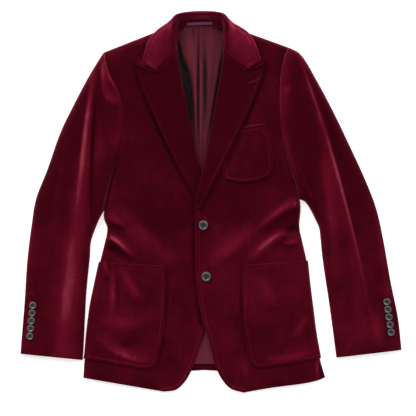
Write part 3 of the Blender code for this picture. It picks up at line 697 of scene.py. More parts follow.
def make_sleeve(side, sleeve, folds, front, front_folds, area, armhole_painted_highlight):
    """Top sleeve and flat under sleeve.

    The top one has two turned edges, a turned-in cuff and a seam allowance tucked under the
    front. Its painted light comes from its tilt towards the shoulder, along the arm. A painted
    sheen runs along the cuff's turned edge, and a painted highlight along the armhole seam:
    fully at the shoulder, and by the given share lower down.
    """
    cap = turn_steps(1.0, 10)
    rows = np.concatenate([cap, np.linspace(1, 9.8, 160)[1:], 10 - HEM_STEPS[:-1][::-1]])[:, None]
    turn = turn_steps(SLEEVE_ROLL, 12) / sleeve_length(sleeve, rows)
    middle = turn[:, -1:] + (1 - 2 * turn[:, -1:]) * np.linspace(0, 1, 52)[1:-1]
    across = np.concatenate([turn, middle, 1 - turn[:, ::-1]], 1)
    points, painted_light = sleeve_surface(sleeve, folds, front, front_folds, rows + 0 * across, across)
    points[..., 2] -= 0.8 * (1 - rounded((10 - rows) * 40.0, 2.0))
    # Painted sheen along the cuff's turned edge, and a painted highlight along the armhole seam.
    eased = armhole_painted_highlight + (1 - armhole_painted_highlight) * ease((across - 0.72) / 0.15)
    stitch_and_painted_sheen = np.exp(-((10 - rows) * 40.0 / 1.5) ** 2) + 1.5 * eased * np.exp(-(rows * 30.0 / 1.8) ** 2)
    allowance = points[:1] - (np.sign(sleeve["outer_x"][0]) * TUCK, 0, TUCK)
    points = np.concatenate([allowance, points])
    points[..., 2] = np.maximum(points[..., 2], FLOOR_GAP)
    painted_light = np.concatenate([painted_light[:1], painted_light])
    stitch_and_painted_sheen = np.concatenate([stitch_and_painted_sheen[:1], stitch_and_painted_sheen])
    name = "sleeve_%s_top" % side
    painted_light_side = -np.gradient(points[..., :2].mean(1), axis=0)
    painted_light_side /= np.linalg.norm(painted_light_side, axis=1, keepdims=True)
    tone_and_painted_light = painted_light_by_tilt(points, painted_light, painted_light_side[:, None])
    piece = shell("cloth_" + name, points, VELVET, velvet_body, stitch_and_painted_sheen=stitch_and_painted_sheen, tone_and_painted_light=tone_and_painted_light)
    lay(piece, name, area)
    rows = np.linspace(0.7, 10, 60)[:, None]
    inset = (12.0 - 8.5 * ease((rows - 1) / 1.5)) / sleeve_length(sleeve, rows)
    across = inset + (1 - 2 * inset) * np.linspace(0, 1, 30)
    under = sleeve_surface(sleeve, folds, front, front_folds, rows + 0 * across, across)[0]
    under[..., 2] = VELVET
    name = "sleeve_%s_under" % side
    below = shell("cloth_" + name, under, VELVET, velvet_body)
    lay(below, name, 0.070)
    return piece, points


sleeve_right, sleeve_right_points = make_sleeve(
    "right", SLEEVE_RIGHT, SLEEVE_RIGHT_FOLDS, FRONT_RIGHT, FRONT_RIGHT_FOLDS, 0.092, 0.2)
sleeve_left, sleeve_left_points = make_sleeve(
    "left", SLEEVE_LEFT, SLEEVE_LEFT_FOLDS, FRONT_LEFT, FRONT_LEFT_FOLDS, 0.093, 0.6)

# %% [markdown]
# ## Lapels
# The facing of each front is turned back at the roll line to make a peaked lapel. It is
# lifted off the front by its own thickness and the canvas in it, more so near the collar,
# and lies flat where it ends at the button. It rounds over at the roll line, and has a row
# of stitches along its outer edge and its peak. At the gorge it is sewn to the collar.

# %% Lapels
LAPEL_RISE = 5.4
LAPEL_ROLL = 6.0
LAPEL_DROP = 1.5
LAPEL_LEAD = 4.0
LAPEL_PITCH = 45.0
LAPEL_LEAST = 2.6
GORGE_LIFT = 1.8
LAPEL_COLUMNS = "section notch_x notch_y outer_x outer_y"
LAPEL_RIGHT = table(
    LAPEL_COLUMNS,
    (10.2, -18, 2, -36, 8),
    (10.9, -38, 62, -60, 54),
    (12.0, -66, 134, -102, 135),
    (13.0, -90, 200, -133, 204),
    (14.0, -106, 256, -152, 254),
    (14.85, -120, 272.6, -163, 287),
)
LAPEL_LEFT = table(
    LAPEL_COLUMNS,
    (10.0, -27, -14, -18, -12),
    (10.5, -10, 40, 6, 37),
    (11.5, 18, 116, 44, 114),
    (12.9, 42, 196, 81, 191),
    (14.0, 62, 262, 106, 254),
    (14.6, 78, 274.6, 116, 292),
)


def make_lapel(name, node, lapel, front, folds, area):
    """Lapel on its front: from the roll line over the notch line to the outer edge."""
    near_top = 5 - EDGE_STEPS[::-1] / LAPEL_PITCH
    rows = np.concatenate([np.linspace(0, near_top[0], 110)[:-1], near_top])[:, None]
    at = columns_at(lapel, rows)
    lead = np.sign(front["edge_x"][0]) * LAPEL_LEAD
    roll_x = smooth(front["edge_x"], at["section"]) - lead
    roll_y = smooth(front["edge_y"], at["section"])
    width = np.hypot(at["outer_x"] - roll_x, at["outer_y"] - roll_y)
    turn = np.minimum(turn_steps(LAPEL_ROLL, 8) / width, 0.4)
    edge = 1 - np.minimum(EDGE_STEPS[::-1] / width, 0.45 * EDGE_STEPS[::-1] / EDGE_STEPS[-1])
    middle = turn[:, -1:] + (edge[:, :1] - turn[:, -1:]) * np.linspace(0, 1, 34)[1:-1]
    share = np.concatenate([turn, middle, edge], 1)
    inner = np.clip(share * 2, 0, 1)
    outer = np.clip(share * 2 - 1, 0, 1)
    x = roll_x + (at["notch_x"] - roll_x) * inner + (at["outer_x"] - at["notch_x"]) * outer
    y = roll_y + (at["notch_y"] - roll_y) * inner + (at["outer_y"] - at["notch_y"]) * outer
    base, painted_light = front_face(front, folds, x, y)
    rise = LAPEL_LEAST + (LAPEL_RISE - LAPEL_LEAST) * ease(rows / 0.9)
    rise = rise + GORGE_LIFT * ease((rows - 4.2) / 0.8)
    z = base - LAPEL_DROP + (rise + LAPEL_DROP) * rounded(share * width, LAPEL_ROLL)
    points = np.stack([x, y, z], -1)
    outline = np.concatenate([points[:, -1], points[-1, share[-1] > 0.5][::-1]])
    points, stitch_and_painted_sheen = sewn_edge(points, outline)
    # Painted light of the lapel: lower overall, higher near the gorge on its inner half, and lower at the
    # peak, where its stitch line and painted edge sheen are dimmed too.
    painted_light = painted_light - 0.12 + 0.26 * ease((rows - 4.0) / 1.0) * (1 - ease((share - 0.45) / 0.3))
    peak = ease((rows - 4.7) / 0.25) * ease((share - 0.45) / 0.15)
    painted_light = painted_light - 0.30 * peak
    stitch_and_painted_sheen = stitch_and_painted_sheen * (1 - 0.55 * peak)
    piece = shell(name, points, VELVET, velvet_body, painted_light, stitch_and_painted_sheen)
    lay(piece, node, area)
    return piece, points, outline


lapel_right, lapel_right_points, lapel_right_outline = make_lapel(
    "cloth_lapel_right", "lapel_right", LAPEL_RIGHT, FRONT_RIGHT, FRONT_RIGHT_FOLDS, 0.0205)
lapel_left, lapel_left_points, lapel_left_outline = make_lapel(
    "cloth_lapel_left", "lapel_left", LAPEL_LEFT, FRONT_LEFT, FRONT_LEFT_FOLDS, 0.0195)

# %% [markdown]
# ## Collar
# The collar is one strip folded over. Its stand rises from the neck seam to the roll line,
# and its leaf falls outside, over the shoulders and behind the neck. At each end the leaf
# is cut to a notch against the lapel. Its velvet is drawn lighter than the body's, as painted
# light for the way its turned pile catches the light. Painted highlights brighten the leaf
# at the two rolls beside the neck, and painted shade darkens the corners of the stand. A
# cap on the painted light keeps the steep back of the leaf behind the neck from a painted
# glow, so the leaf is darker along its top edge there, and the inside of the stand behind
# the neck is drawn a little lighter.

# %% Collar
COLLAR_ROLL = 3.5
COLLAR_FALL = 4.0
COLLAR_PITCH = 22.0
COLLAR_PAINTED_HIGHLIGHTS = ((-84, 364, 0.22), (42, 364, 0.30))
COLLAR_COLUMNS = ("foot_x foot_y foot_z roll_x roll_y roll_z"
                  " leaf_x leaf_y leaf_z edge_x edge_y edge_z")
COLLAR = table(
    COLLAR_COLUMNS,
    (-68.5, 315.5, 25, -71.5, 312, 36, -120, 274, 36, -144, 292, 34),
    (-70.5, 335.5, 22, -73.5, 334, 38, -104, 332, 37, -131, 333, 34),
    (-69.5, 356, 18, -73, 358, 40, -96, 359, 36, -114.5, 355, 28),
    (-67, 369, 15, -72, 375, 41, -84, 375, 33, -93.5, 371, 19),
    (-58, 377, 14, -65, 388, 41, -70, 391, 28, -71.5, 386, 9),
    (-23, 380, 14, -23, 391, 42, -23, 397, 26, -23, 393, 4),
    (13, 377, 14, 18, 390, 41, 23.5, 393, 28, 25.5, 388, 9),
    (24, 369, 15, 29, 376, 41, 40, 376, 33, 48.5, 372, 19),
    (26.5, 356, 18, 30, 358, 40, 58, 358, 36, 77, 353, 28),
    (27.5, 333.5, 22, 30.5, 332, 38, 64, 330, 37, 93, 327, 34),
    (24.5, 315, 25, 27, 311, 36, 78, 276, 36, 105, 294, 34),
)


def collar_surface(row, around):
    """Points of the collar: nine places from foot to edge, rounded at the roll, straight on the leaf."""
    at = columns_at(COLLAR, row)
    place = {key: np.stack([at[key + "_x"], at[key + "_y"], at[key + "_z"]], -1)
             for key in ("foot", "roll", "leaf", "edge")}
    fold = {}
    for key in ("foot", "leaf"):
        lean = (place[key] - place["roll"]) * (1, 1, 0)
        lean = lean / np.linalg.norm(lean, axis=-1, keepdims=True)
        fold[key] = place["roll"] + lean * COLLAR_ROLL - np.array([0, 0, COLLAR_FALL])
    line = np.stack([place["foot"], (place["foot"] + fold["foot"]) / 2, fold["foot"], place["roll"],
                     fold["leaf"], (place["leaf"] + fold["leaf"]) / 2, place["leaf"],
                     (place["leaf"] + place["edge"]) / 2, place["edge"]])
    low = np.clip(np.floor(around).astype(int), 0, 7)
    t = (around - low)[:, None, None]
    straight = line[low] * (1 - t) + line[low + 1] * t
    slope = np.gradient(line, axis=0)
    curved = ((1 + 2 * t) * (1 - t) ** 2 * line[low] + t * (1 - t) ** 2 * slope[low]
              + t * t * (3 - 2 * t) * line[low + 1] + t * t * (t - 1) * slope[low + 1])
    blend = np.clip(around - 4, 0, 1)[:, None, None]
    return np.swapaxes(curved * (1 - blend) + straight * blend, 0, 1)


collar_ends = EDGE_STEPS / COLLAR_PITCH
collar_rows = np.concatenate([collar_ends, np.linspace(collar_ends[-1], 10 - collar_ends[-1], 120)[1:-1],
                              10 - collar_ends[::-1]])
collar_around = np.concatenate([np.linspace(0, 5, 44)[:-1], np.linspace(5, 7.3, 16)[:-1],
                                8 - 0.7 * EDGE_STEPS[::-1] / EDGE_STEPS[-1]])
collar_points = collar_surface(collar_rows, collar_around)
free_from = int((collar_around < 6).sum())
collar_outline = np.concatenate([collar_points[0, free_from:], collar_points[:, -1],
                                 collar_points[-1, :free_from:-1]])
on_leaf = ease(collar_around - 4) + 0 * collar_rows[:, None]
collar_points, collar_stitch_and_painted_sheen = sewn_edge(collar_points, collar_outline, on_leaf)
from_gorge = 10 / 2 - np.abs(collar_rows - 5)[:, None]
# Painted shade in the corners of the stand. Behind the neck the stand is drawn a little lighter, and the
# leaf's painted light is capped, so its steep back gets no painted glow.
painted_stand_shade = (1 - on_leaf) * np.exp(-((from_gorge - 2.4) / 0.9) ** 2)
behind_neck = ease(from_gorge - 2.8)
collar_painted_light = 0.12 + on_leaf * (0.20 * ease(from_gorge / 1.3) - 0.04)
collar_painted_light += 0.09 * (1 - on_leaf) * behind_neck
collar_limit = 0.42 - 0.28 * behind_neck * ease(collar_around - 2.2) - 0.65 * painted_stand_shade
collar_tone_and_painted_light = np.minimum(painted_light_by_tilt(collar_points, collar_painted_light), collar_limit)
# Painted highlights on the leaf at the two rolls beside the neck.
for highlight_x, highlight_y, highlight_share in COLLAR_PAINTED_HIGHLIGHTS:
    off_x = (collar_points[..., 0] - highlight_x) / 11
    off_y = (collar_points[..., 1] - highlight_y) / 17
    collar_tone_and_painted_light += on_leaf * highlight_share * np.exp(-off_x ** 2 - off_y ** 2)
collar = shell("cloth_collar", collar_points, VELVET, velvet_painted_lighter, stitch_and_painted_sheen=collar_stitch_and_painted_sheen, tone_and_painted_light=collar_tone_and_painted_light)
lay(collar, "collar", 0.0225)

# %% [markdown]
# ## Patch pockets
# A patch pocket is laid on the front and sewn round three sides. Here it is the front's own
# face moved out, so it keeps every fold below it, and it turns down with the side. The
# lower corner that faces the front edge is rounded.

# %% Patch pockets
LAY_GAP = 0.9
POCKET_ROWS = (2.45, 7.0)
POCKET_EDGE = table("height share", (0.0, 0.32), (0.5, 0.35), (1.0, 0.43))
POCKET_CORNER_SHARE = 0.11
POCKET_CORNER_HEIGHT = 0.2
POCKET_TALL = 205.0


def make_pocket(name, node, front, folds, area):
    """Lower patch pocket on a front, with a quieter edge along its mouth."""
    near = EDGE_STEPS / POCKET_TALL
    height = np.concatenate([near, np.linspace(near[-1], 1 - near[-1], 80)[1:-1], 1 - near[::-1]])[:, None]
    start = np.interp(height, POCKET_EDGE["height"], POCKET_EDGE["share"])
    start = start + POCKET_CORNER_SHARE * (1 - rounded(height, POCKET_CORNER_HEIGHT))
    rows = POCKET_ROWS[0] + (POCKET_ROWS[1] - POCKET_ROWS[0]) * height
    row, across = front_grid(front, rows, start, EDGE_STEPS, 44)
    points, painted_light = front_surface(front, folds, row, across)
    facing = front_normals(front, folds, row, across)
    points = points + (LAY_GAP + VELVET) * facing
    outline = np.concatenate([points[0, ::-1], points[:, 0], points[-1]])
    mouth = ease((height - 0.88) / 0.06) + 0 * across
    points, stitch_and_painted_sheen = sewn_edge(points, outline, 0.8 - 0.55 * mouth)
    piece = shell(name, points, VELVET, velvet_body, painted_light, stitch_and_painted_sheen, facing)
    lay(piece, node, area)
    return piece, points, outline


pocket_right, pocket_right_points, pocket_right_outline = make_pocket(
    "cloth_pocket_right", "pocket_right", FRONT_RIGHT, FRONT_RIGHT_FOLDS, 0.037)
pocket_left, pocket_left_points, pocket_left_outline = make_pocket(
    "cloth_pocket_left", "pocket_left", FRONT_LEFT, FRONT_LEFT_FOLDS, 0.037)

# %% [markdown]
# ## Breast pocket
# The breast pocket is a smaller patch with rounded lower corners. Its front part goes under
# the lapel.

# %% Breast pocket
BREAST_TOP = 5
BREAST_PITCH = 50.0
BREAST_WIDE = 100.0
BREAST = table(
    "near_x near_y far_x far_y bow",
    (44, 42.5, 98, 44, 3.5),
    (31, 46, 114, 49.5, 5),
    (25, 54, 124, 58, 4),
    (23, 68, 129.5, 76, 2),
    (22, 106, 127, 110, 0),
    (30, 150, 112, 164, 0),
)
breast_top = BREAST_TOP - EDGE_STEPS[::-1] / BREAST_PITCH
breast_rows = np.concatenate([np.linspace(0, 2, 30)[:-1], np.linspace(2, breast_top[0], 50)[:-1], breast_top])
breast_rows = breast_rows[:, None]
breast_side = EDGE_STEPS / BREAST_WIDE
breast_share = np.concatenate([breast_side, np.linspace(breast_side[-1], 1 - breast_side[-1], 44)[1:-1],
                               1 - breast_side[::-1]])
breast_at = columns_at(BREAST, breast_rows)
breast_x = breast_at["near_x"] + (breast_at["far_x"] - breast_at["near_x"]) * breast_share
breast_y = breast_at["near_y"] + (breast_at["far_y"] - breast_at["near_y"]) * breast_share
breast_y = breast_y - breast_at["bow"] * 4 * breast_share * (1 - breast_share)
breast_place = locate(FRONT_LEFT, breast_x, breast_y)
breast_facing = front_normals(FRONT_LEFT, FRONT_LEFT_FOLDS, *breast_place)
breast_points, breast_painted_light = front_surface(FRONT_LEFT, FRONT_LEFT_FOLDS, *breast_place)
breast_points = np.stack([breast_x, breast_y, breast_points[..., 2] + LAY_GAP + VELVET], -1)
breast_outline = np.concatenate([breast_points[:, 0][::-1], breast_points[0], breast_points[:, -1],
                                 breast_points[-1, ::-1]])
breast_points, breast_stitch_and_painted_sheen = sewn_edge(breast_points, breast_outline)
breast = shell("cloth_pocket_breast", breast_points, VELVET, velvet_body,
               breast_painted_light, breast_stitch_and_painted_sheen, breast_facing)
lay(breast, "pocket_breast", 0.0115)

# %% [markdown]
# ## Back and lining
# The back lies flat on the table, in two halves with a seam down the middle. Only its hem
# shows, between the fronts. The satin lining lies on it, with a loose pleat down the middle
# that gives the wearer room, and small gathers under the collar.

# %% Satin finish


def satin(name, deep, bright, roughness):
    """Smooth lining: a fine twill in the bump, with painted highlights on its ridges and painted shade,
    almost black, in its folds.
    """
    finish = bpy.data.materials.new(name)
    finish.use_nodes = True
    tree = finish.node_tree
    shader = tree.nodes["Principled BSDF"]
    place = add_node(tree, "ShaderNodeTexCoord").outputs["Object"]
    along = add_node(tree, "ShaderNodeMapping", Scale=(1.0, 0.18, 1.0))
    tree.links.new(place, along.inputs["Vector"])
    patches = add_node(tree, "ShaderNodeTexNoise", Scale=75.0, Detail=4.0, Roughness=0.6)
    twill = add_node(tree, "ShaderNodeTexWave", Scale=900.0, Distortion=0.6, bands_direction="DIAGONAL")
    tree.links.new(along.outputs["Vector"], patches.inputs["Vector"])
    tree.links.new(place, twill.inputs["Vector"])
    tone_and_painted_light = add_node(tree, "ShaderNodeAttribute", attribute_name="tone_and_painted_light").outputs["Fac"]
    offset = math_node(tree, "SUBTRACT", patches.outputs["Fac"], 0.5)
    share = math_node(tree, "ADD", tone_and_painted_light, math_node(tree, "MULTIPLY", offset, 0.5))
    share = math_node(tree, "MINIMUM", math_node(tree, "MAXIMUM", share, 0.0), 1.0)
    colour = mix_colour(tree, share, deep, bright)
    tree.links.new(colour, shader.inputs["Base Color"])
    bump = add_node(tree, "ShaderNodeBump", Strength=0.12, Distance=0.0003)
    tree.links.new(twill.outputs["Fac"], bump.inputs["Height"])
    tree.links.new(bump.outputs["Normal"], shader.inputs["Normal"])
    shader.inputs["Roughness"].default_value = roughness
    shader.inputs["Specular IOR Level"].default_value = 0.10
    return finish


satin_lining = satin("satin_lining", (0.008, 0.0025, 0.0035, 1), (0.168, 0.019, 0.035, 1), 0.5)
satin_ribbon = satin("satin_ribbon", (0.120, 0.026, 0.062, 1), (0.225, 0.062, 0.125, 1), 0.55)
print("satin finishes:", satin_lining.name, satin_ribbon.name)

# %% Back, lining, facing and loop
CENTRE_BACK = -15.0
BACK_INSET = 4.5
BACK_HEM = -350.0
BACK_NECK = 376.0
LINING = table(
    "place_y right_x left_x rise",
    (-337, -75, 38, 3.6),
    (-200, -70, 40, 3.6),
    (0, -80, 45, 4.0),
    (200, -105, 65, 5.0),
    (320, -100, 55, 8.0),
    (371, -70, 26, 11.0),
)
# Most lining folds also paint light: the black wedges under the lapels' roll edges and in the corners below
# the collar stand are painted shadows, the dark lines of the pleat are painted shade, and its ribs carry
# painted highlights.
LINING_FOLDS = table(
    FOLD_COLUMNS,
    (-25.5, 374, -26.5, 240, -26, 60, 2.2, 2.4, -2.5, -0.85),
    (-38, 350, -34, 236, -28, 80, 4.5, 4, 3.5, 0.22),
    (-19, 374, -20.5, 240, -20.5, 60, 2.6, 2.8, 3.5, 0.30),
    (-52, 362, -48, 320, -43, 270, 8, 8, 2.5, 0.16),
    (0, 362, -2, 290, -7, 190, 9, 9, 2.5, 0.06),
    (-74, 352, -63, 302, -51, 256, 5, 7, -2.0, -1.0),
    (-62, 300, -47, 236, -39, 108, 9, 13, -2.5, -1.1),
    (29, 340, 14, 240, -13, 84, 3.5, 3.5, -2.5, -1.0),
    (-12.5, 340, -12, 243, -12.5, 130, 4.5, 4.5, -1.5, -0.85),
    (6, 290, 2, 250, -2, 200, 3, 3, -0.8, -0.18),
    (-37.5, 366, -37, 350, -36, 326, 1.6, 1.6, -1.2, -0.5),
    (6, 370, 6.6, 362, 8, 350, 1.8, 1.8, -1.2, -0.5),
    (-54, 372, -60, 366, -70, 350, 4, 7, -1.5, -0.9),
    (12, 372, 18, 366, 27, 350, 4, 7, -1.5, -0.9),
    (-40, -200, -36, -270, -34, -336, 8, 5, 1.5, 0.12),
)
FACING = table(
    "place_x upper_y lower_y rise",
    (-69, 375, 359, 13.0),
    (-52, 384, 364.5, 13.0),
    (-23, 385, 367, 13.0),
    (7, 384, 364.5, 13.0),
    (26, 375, 359, 13.0),
)
LOOP_START = (-50.0, 370.0)
LOOP_END = (3.0, 372.0)
LOOP_WIDTH = 5.5
LOOP_BOW = 3.0


def make_back(name, node, front, side):
    """Half of the back, flat on the table from the centre seam to the turned side."""
    rows = np.linspace(0.12, 15.7, 70)[:, None]
    share = np.linspace(0, 1, 30)
    side_x = smooth(front["side_x"], rows) - side * BACK_INSET
    side_y = smooth(front["side_y"], rows)
    reach = (side_y - side_y[0]) / (side_y[-1] - side_y[0])
    centre_y = BACK_HEM + (BACK_NECK - BACK_HEM) * reach
    centre_x = CENTRE_BACK
    points = np.stack([centre_x + (side_x - centre_x) * share, centre_y + (side_y - centre_y) * share,
                       np.full((70, 30), VELVET)], -1)
    piece = shell(name, points, VELVET, velvet_body, np.full((70, 30), -0.25))
    lay(piece, node, 0.145)
    return piece


back_right = make_back("cloth_back_right", "back_right", FRONT_RIGHT, -1)
back_left = make_back("cloth_back_left", "back_left", FRONT_LEFT, 1)

lining_rows = np.linspace(0, 5, 160)[:, None]
lining_at = columns_at(LINING, lining_rows)
lining_share = np.linspace(0, 1, 130)
lining_x = lining_at["right_x"] + (lining_at["left_x"] - lining_at["right_x"]) * lining_share
lining_y = lining_at["place_y"] + 0 * lining_x
lining_lift, lining_painted_light = fold_relief(LINING_FOLDS, lining_x, lining_y)
lining_z = np.maximum(lining_at["rise"] + lining_lift, VELVET + SATIN + FLOOR_GAP)
lining_points = np.stack([lining_x, lining_y, lining_z], -1)
# The lining's colour carries the painted light and shade of its folds.
lining = shell("cloth_lining_back", lining_points, SATIN, satin_lining, tone_and_painted_light=0.60 + lining_painted_light)
lay(lining, "lining_back", 0.098)

facing_at = columns_at(FACING, np.linspace(0, 4, 60)[:, None])
facing_share = np.linspace(0, 1, 12)
facing_points = np.stack([facing_at["place_x"] + 0 * facing_share,
                          facing_at["lower_y"] + (facing_at["upper_y"] - facing_at["lower_y"]) * facing_share,
                          facing_at["rise"] + 0 * facing_share], -1)
facing = shell("cloth_neck_facing", facing_points, SATIN, velvet_painted_lighter, np.full((60, 12), 0.12))
lay(facing, "neck_facing", 0.0018)

loop_t = np.linspace(0, 1, 40)[:, None]
loop_across = np.linspace(-0.5, 0.5, 9) * LOOP_WIDTH
loop_points = np.stack([LOOP_START[0] + (LOOP_END[0] - LOOP_START[0]) * loop_t + 0 * loop_across,
                        LOOP_START[1] + (LOOP_END[1] - LOOP_START[1]) * loop_t + loop_across,
                        15.0 + LOOP_BOW * np.sin(math.pi * loop_t) + 0 * loop_across], -1)
loop = shell("cloth_hanger_loop", loop_points, SATIN, satin_ribbon, tone_and_painted_light=np.full((40, 9), 0.6))
lay(loop, "hanger_loop", 0.0004)

# %% [markdown]
# ## Buttons
# The buttons are turned from dark horn, with a raised rim, a dish and four holes. The
# polished rim is painted grey as a painted reflection, and the gloss adds the lamps' own
# highlights. Two fasten the front and five sit along the vent of each sleeve, close together.

# %% Horn finish and buttons
FRONT_BUTTON = 10.0
CUFF_BUTTON = 7.5
BUTTON_SIDES = 40
HOLE_PLACE = 0.17
HOLE_SIZE = 0.085
# The last column paints a reflection: how far the rim is painted grey.
BUTTON = table(
    "share rise shade",
    (0.55, 0.0, 0.1), (0.90, 0.5, 0.1), (0.98, 1.2, 0.15), (1.0, 1.8, 0.25), (0.98, 2.5, 0.5),
    (0.92, 3.05, 0.8), (0.84, 3.25, 1.0), (0.76, 3.1, 0.8), (0.66, 2.6, 0.5), (0.56, 2.35, 0.3),
    (0.46, 2.3, 0.12), (0.38, 2.28, 0.04), (0.32, 2.26, 0.0), (0.28, 2.25, 0.0), (0.24, 2.25, 0.0),
    (0.20, 2.25, 0.0), (0.16, 2.25, 0.0), (0.12, 2.25, 0.0), (0.06, 2.25, 0.0))


def horn(name):
    """Polished horn: black, with a painted grey reflection on the rim, streaked, with a clear gloss."""
    finish = bpy.data.materials.new(name)
    finish.use_nodes = True
    tree = finish.node_tree
    shader = tree.nodes["Principled BSDF"]
    place = add_node(tree, "ShaderNodeTexCoord").outputs["Object"]
    streak = add_node(tree, "ShaderNodeTexNoise", Scale=160.0, Detail=5.0, Roughness=0.65)
    tree.links.new(place, streak.inputs["Vector"])
    shade = add_node(tree, "ShaderNodeAttribute", attribute_name="shade").outputs["Fac"]
    share = math_node(tree, "MULTIPLY", shade, math_node(tree, "ADD", streak.outputs["Fac"], 0.35))
    colour = mix_colour(tree, share, (0.0012, 0.0012, 0.0016, 1), (0.080, 0.080, 0.087, 1))
    tree.links.new(colour, shader.inputs["Base Color"])
    bump = add_node(tree, "ShaderNodeBump", Strength=0.1, Distance=0.0002)
    tree.links.new(streak.outputs["Fac"], bump.inputs["Height"])
    tree.links.new(bump.outputs["Normal"], shader.inputs["Normal"])
    shader.inputs["Roughness"].default_value = 0.2
    shader.inputs["Coat Weight"].default_value = 0.6
    shader.inputs["Coat Roughness"].default_value = 0.12
    return finish


horn_finish = horn("horn_button")
button_places = []


def seat_on(points, x, y):
    """Place and normal on a face nearest to plan points, slid along its tangent plane."""
    flat = points.reshape(-1, 3)
    normal = normals(points).reshape(-1, 3)
    near = ((flat[:, 0] - x[:, None]) ** 2 + (flat[:, 1] - y[:, None]) ** 2).argmin(1)
    axis = normal[near]
    z = flat[near, 2] - (axis[:, 0] * (x - flat[near, 0]) + axis[:, 1] * (y - flat[near, 1])) / axis[:, 2]
    return np.stack([x, y, z], -1), axis


def make_button(name, node, points, place_x, place_y, radius):
    """Button turned round its own axis, square to the cloth below it.

    Rings of a profile are carried round the axis. Four bells pressed into the dish are its holes.
    """
    seat, axis = seat_on(points, np.array([place_x]), np.array([place_y]))
    seat = seat[0] + axis[0] * LAY_GAP
    axis = axis[0]
    right = np.cross((0, 1, 0), axis)
    right /= np.linalg.norm(right)
    ahead = np.cross(axis, right)
    turn = np.linspace(0, 2 * math.pi, BUTTON_SIDES, endpoint=False)
    share = BUTTON["share"][:, None]
    across = share * np.cos(turn)
    along = share * np.sin(turn)
    hole = np.exp(-((np.abs(across) - HOLE_PLACE) ** 2 + (np.abs(along) - HOLE_PLACE) ** 2) / HOLE_SIZE ** 2)
    in_dish = share < 0.45
    rise = (BUTTON["rise"][:, None] - 1.3 * hole * in_dish) * radius / FRONT_BUTTON
    rings = seat + radius * (across[..., None] * right + along[..., None] * ahead) + rise[..., None] * axis
    number = np.arange(rings.size // 3).reshape(rings.shape[:2])
    ahead_number = np.roll(number, -1, 1)
    band = np.stack([number[:-1], ahead_number[:-1], ahead_number[1:], number[1:]], -1).reshape(-1, 4)
    ends = (number[0, ::-1].tolist(), number[-1].tolist())
    piece = link_mesh(name, rings.reshape(-1, 3), band, horn_finish, ends)
    # Painted reflection: the rim's grey from the table's last column.
    shade = (BUTTON["shade"][:, None] + 0 * across).reshape(-1)
    piece.data.attributes.new("shade", "FLOAT", "POINT").data.foreach_set("value", shade.astype(np.float32))
    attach(piece, "root")
    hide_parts(node)
    button_places.append((seat, axis, right, ahead, radius))
    return piece


FRONT_BUTTONS = table("place_x place_y", (-16, -48), (-10, -155))
CUFF_RIGHT = table("place_x place_y", (-370, -215), (-376, -279))
CUFF_LEFT = table("place_x place_y", (365, -208), (374, -271))
for i in range(2):
    make_button("horn_front_%d" % (i + 1), "button_front_%d" % (i + 1), front_left_points,
                FRONT_BUTTONS["place_x"][i], FRONT_BUTTONS["place_y"][i], FRONT_BUTTON)
for side, line, face in (("right", CUFF_RIGHT, sleeve_right_points), ("left", CUFF_LEFT, sleeve_left_points)):
    for i, t in enumerate(np.linspace(0, 1, 5)):
        make_button("horn_%s_%d" % (side, i + 1), "button_%s_%d" % (side, i + 1), face,
                    line["place_x"] @ (1 - t, t), line["place_y"] @ (1 - t, t), CUFF_BUTTON)

# %% [markdown]
# ## Stitches
# Edges of lapels, collar, pockets and fronts are topstitched 8 mm in. Each stitch is a short
# rod of silk thread with pinched ends that lies in the groove. The row follows the edge, so
# its line is the outline moved in, kept only where it is clear of every other part of it.

# %% Thread finish and stitches
STITCH_PITCH = 3.6
STITCH_LONG = 2.7
STITCH_THICK = 0.32
STITCH_SIDES = 6
ROD = table("along thick", (0.0, 0.3), (0.12, 0.8), (0.5, 1.0), (0.88, 0.8), (1.0, 0.3))


def thread(name, deep, bright):
    """Twisted thread: fine slanted bands of two tones."""
    finish = bpy.data.materials.new(name)
    finish.use_nodes = True
    tree = finish.node_tree
    shader = tree.nodes["Principled BSDF"]
    place = add_node(tree, "ShaderNodeTexCoord").outputs["Object"]
    twist = add_node(tree, "ShaderNodeTexWave", Scale=1400.0, Distortion=1.0, bands_direction="DIAGONAL")
    tree.links.new(place, twist.inputs["Vector"])
    tree.links.new(mix_colour(tree, twist.outputs["Fac"], deep, bright), shader.inputs["Base Color"])
    shader.inputs["Roughness"].default_value = 0.7
    shader.inputs["Specular IOR Level"].default_value = 0.05
    return finish


thread_wine = thread("thread_wine", (0.060, 0.0015, 0.007, 1), (0.115, 0.005, 0.016, 1))
thread_dark = thread("thread_dark", (0.010, 0.003, 0.004, 1), (0.035, 0.012, 0.015, 1))
thread_pale = thread("thread_pale", (0.060, 0.008, 0.015, 1), (0.110, 0.022, 0.033, 1))


def inset_line(outline, points, inset):
    """Plan points of an outline moved in by an inset, without those too near another part of it."""
    line = outline[:, :2]
    run = np.gradient(line, axis=0)
    run /= np.maximum(np.linalg.norm(run, axis=1, keepdims=True), 1e-9)
    aside = np.stack([-run[:, 1], run[:, 0]], 1)
    middle = points[..., :2].reshape(-1, 2).mean(0)
    aside *= np.sign(((middle - line) * aside).sum())
    moved = line + inset * aside
    return moved[path_distance(line, moved[:, 0], moved[:, 1])[0] > 0.98 * inset]


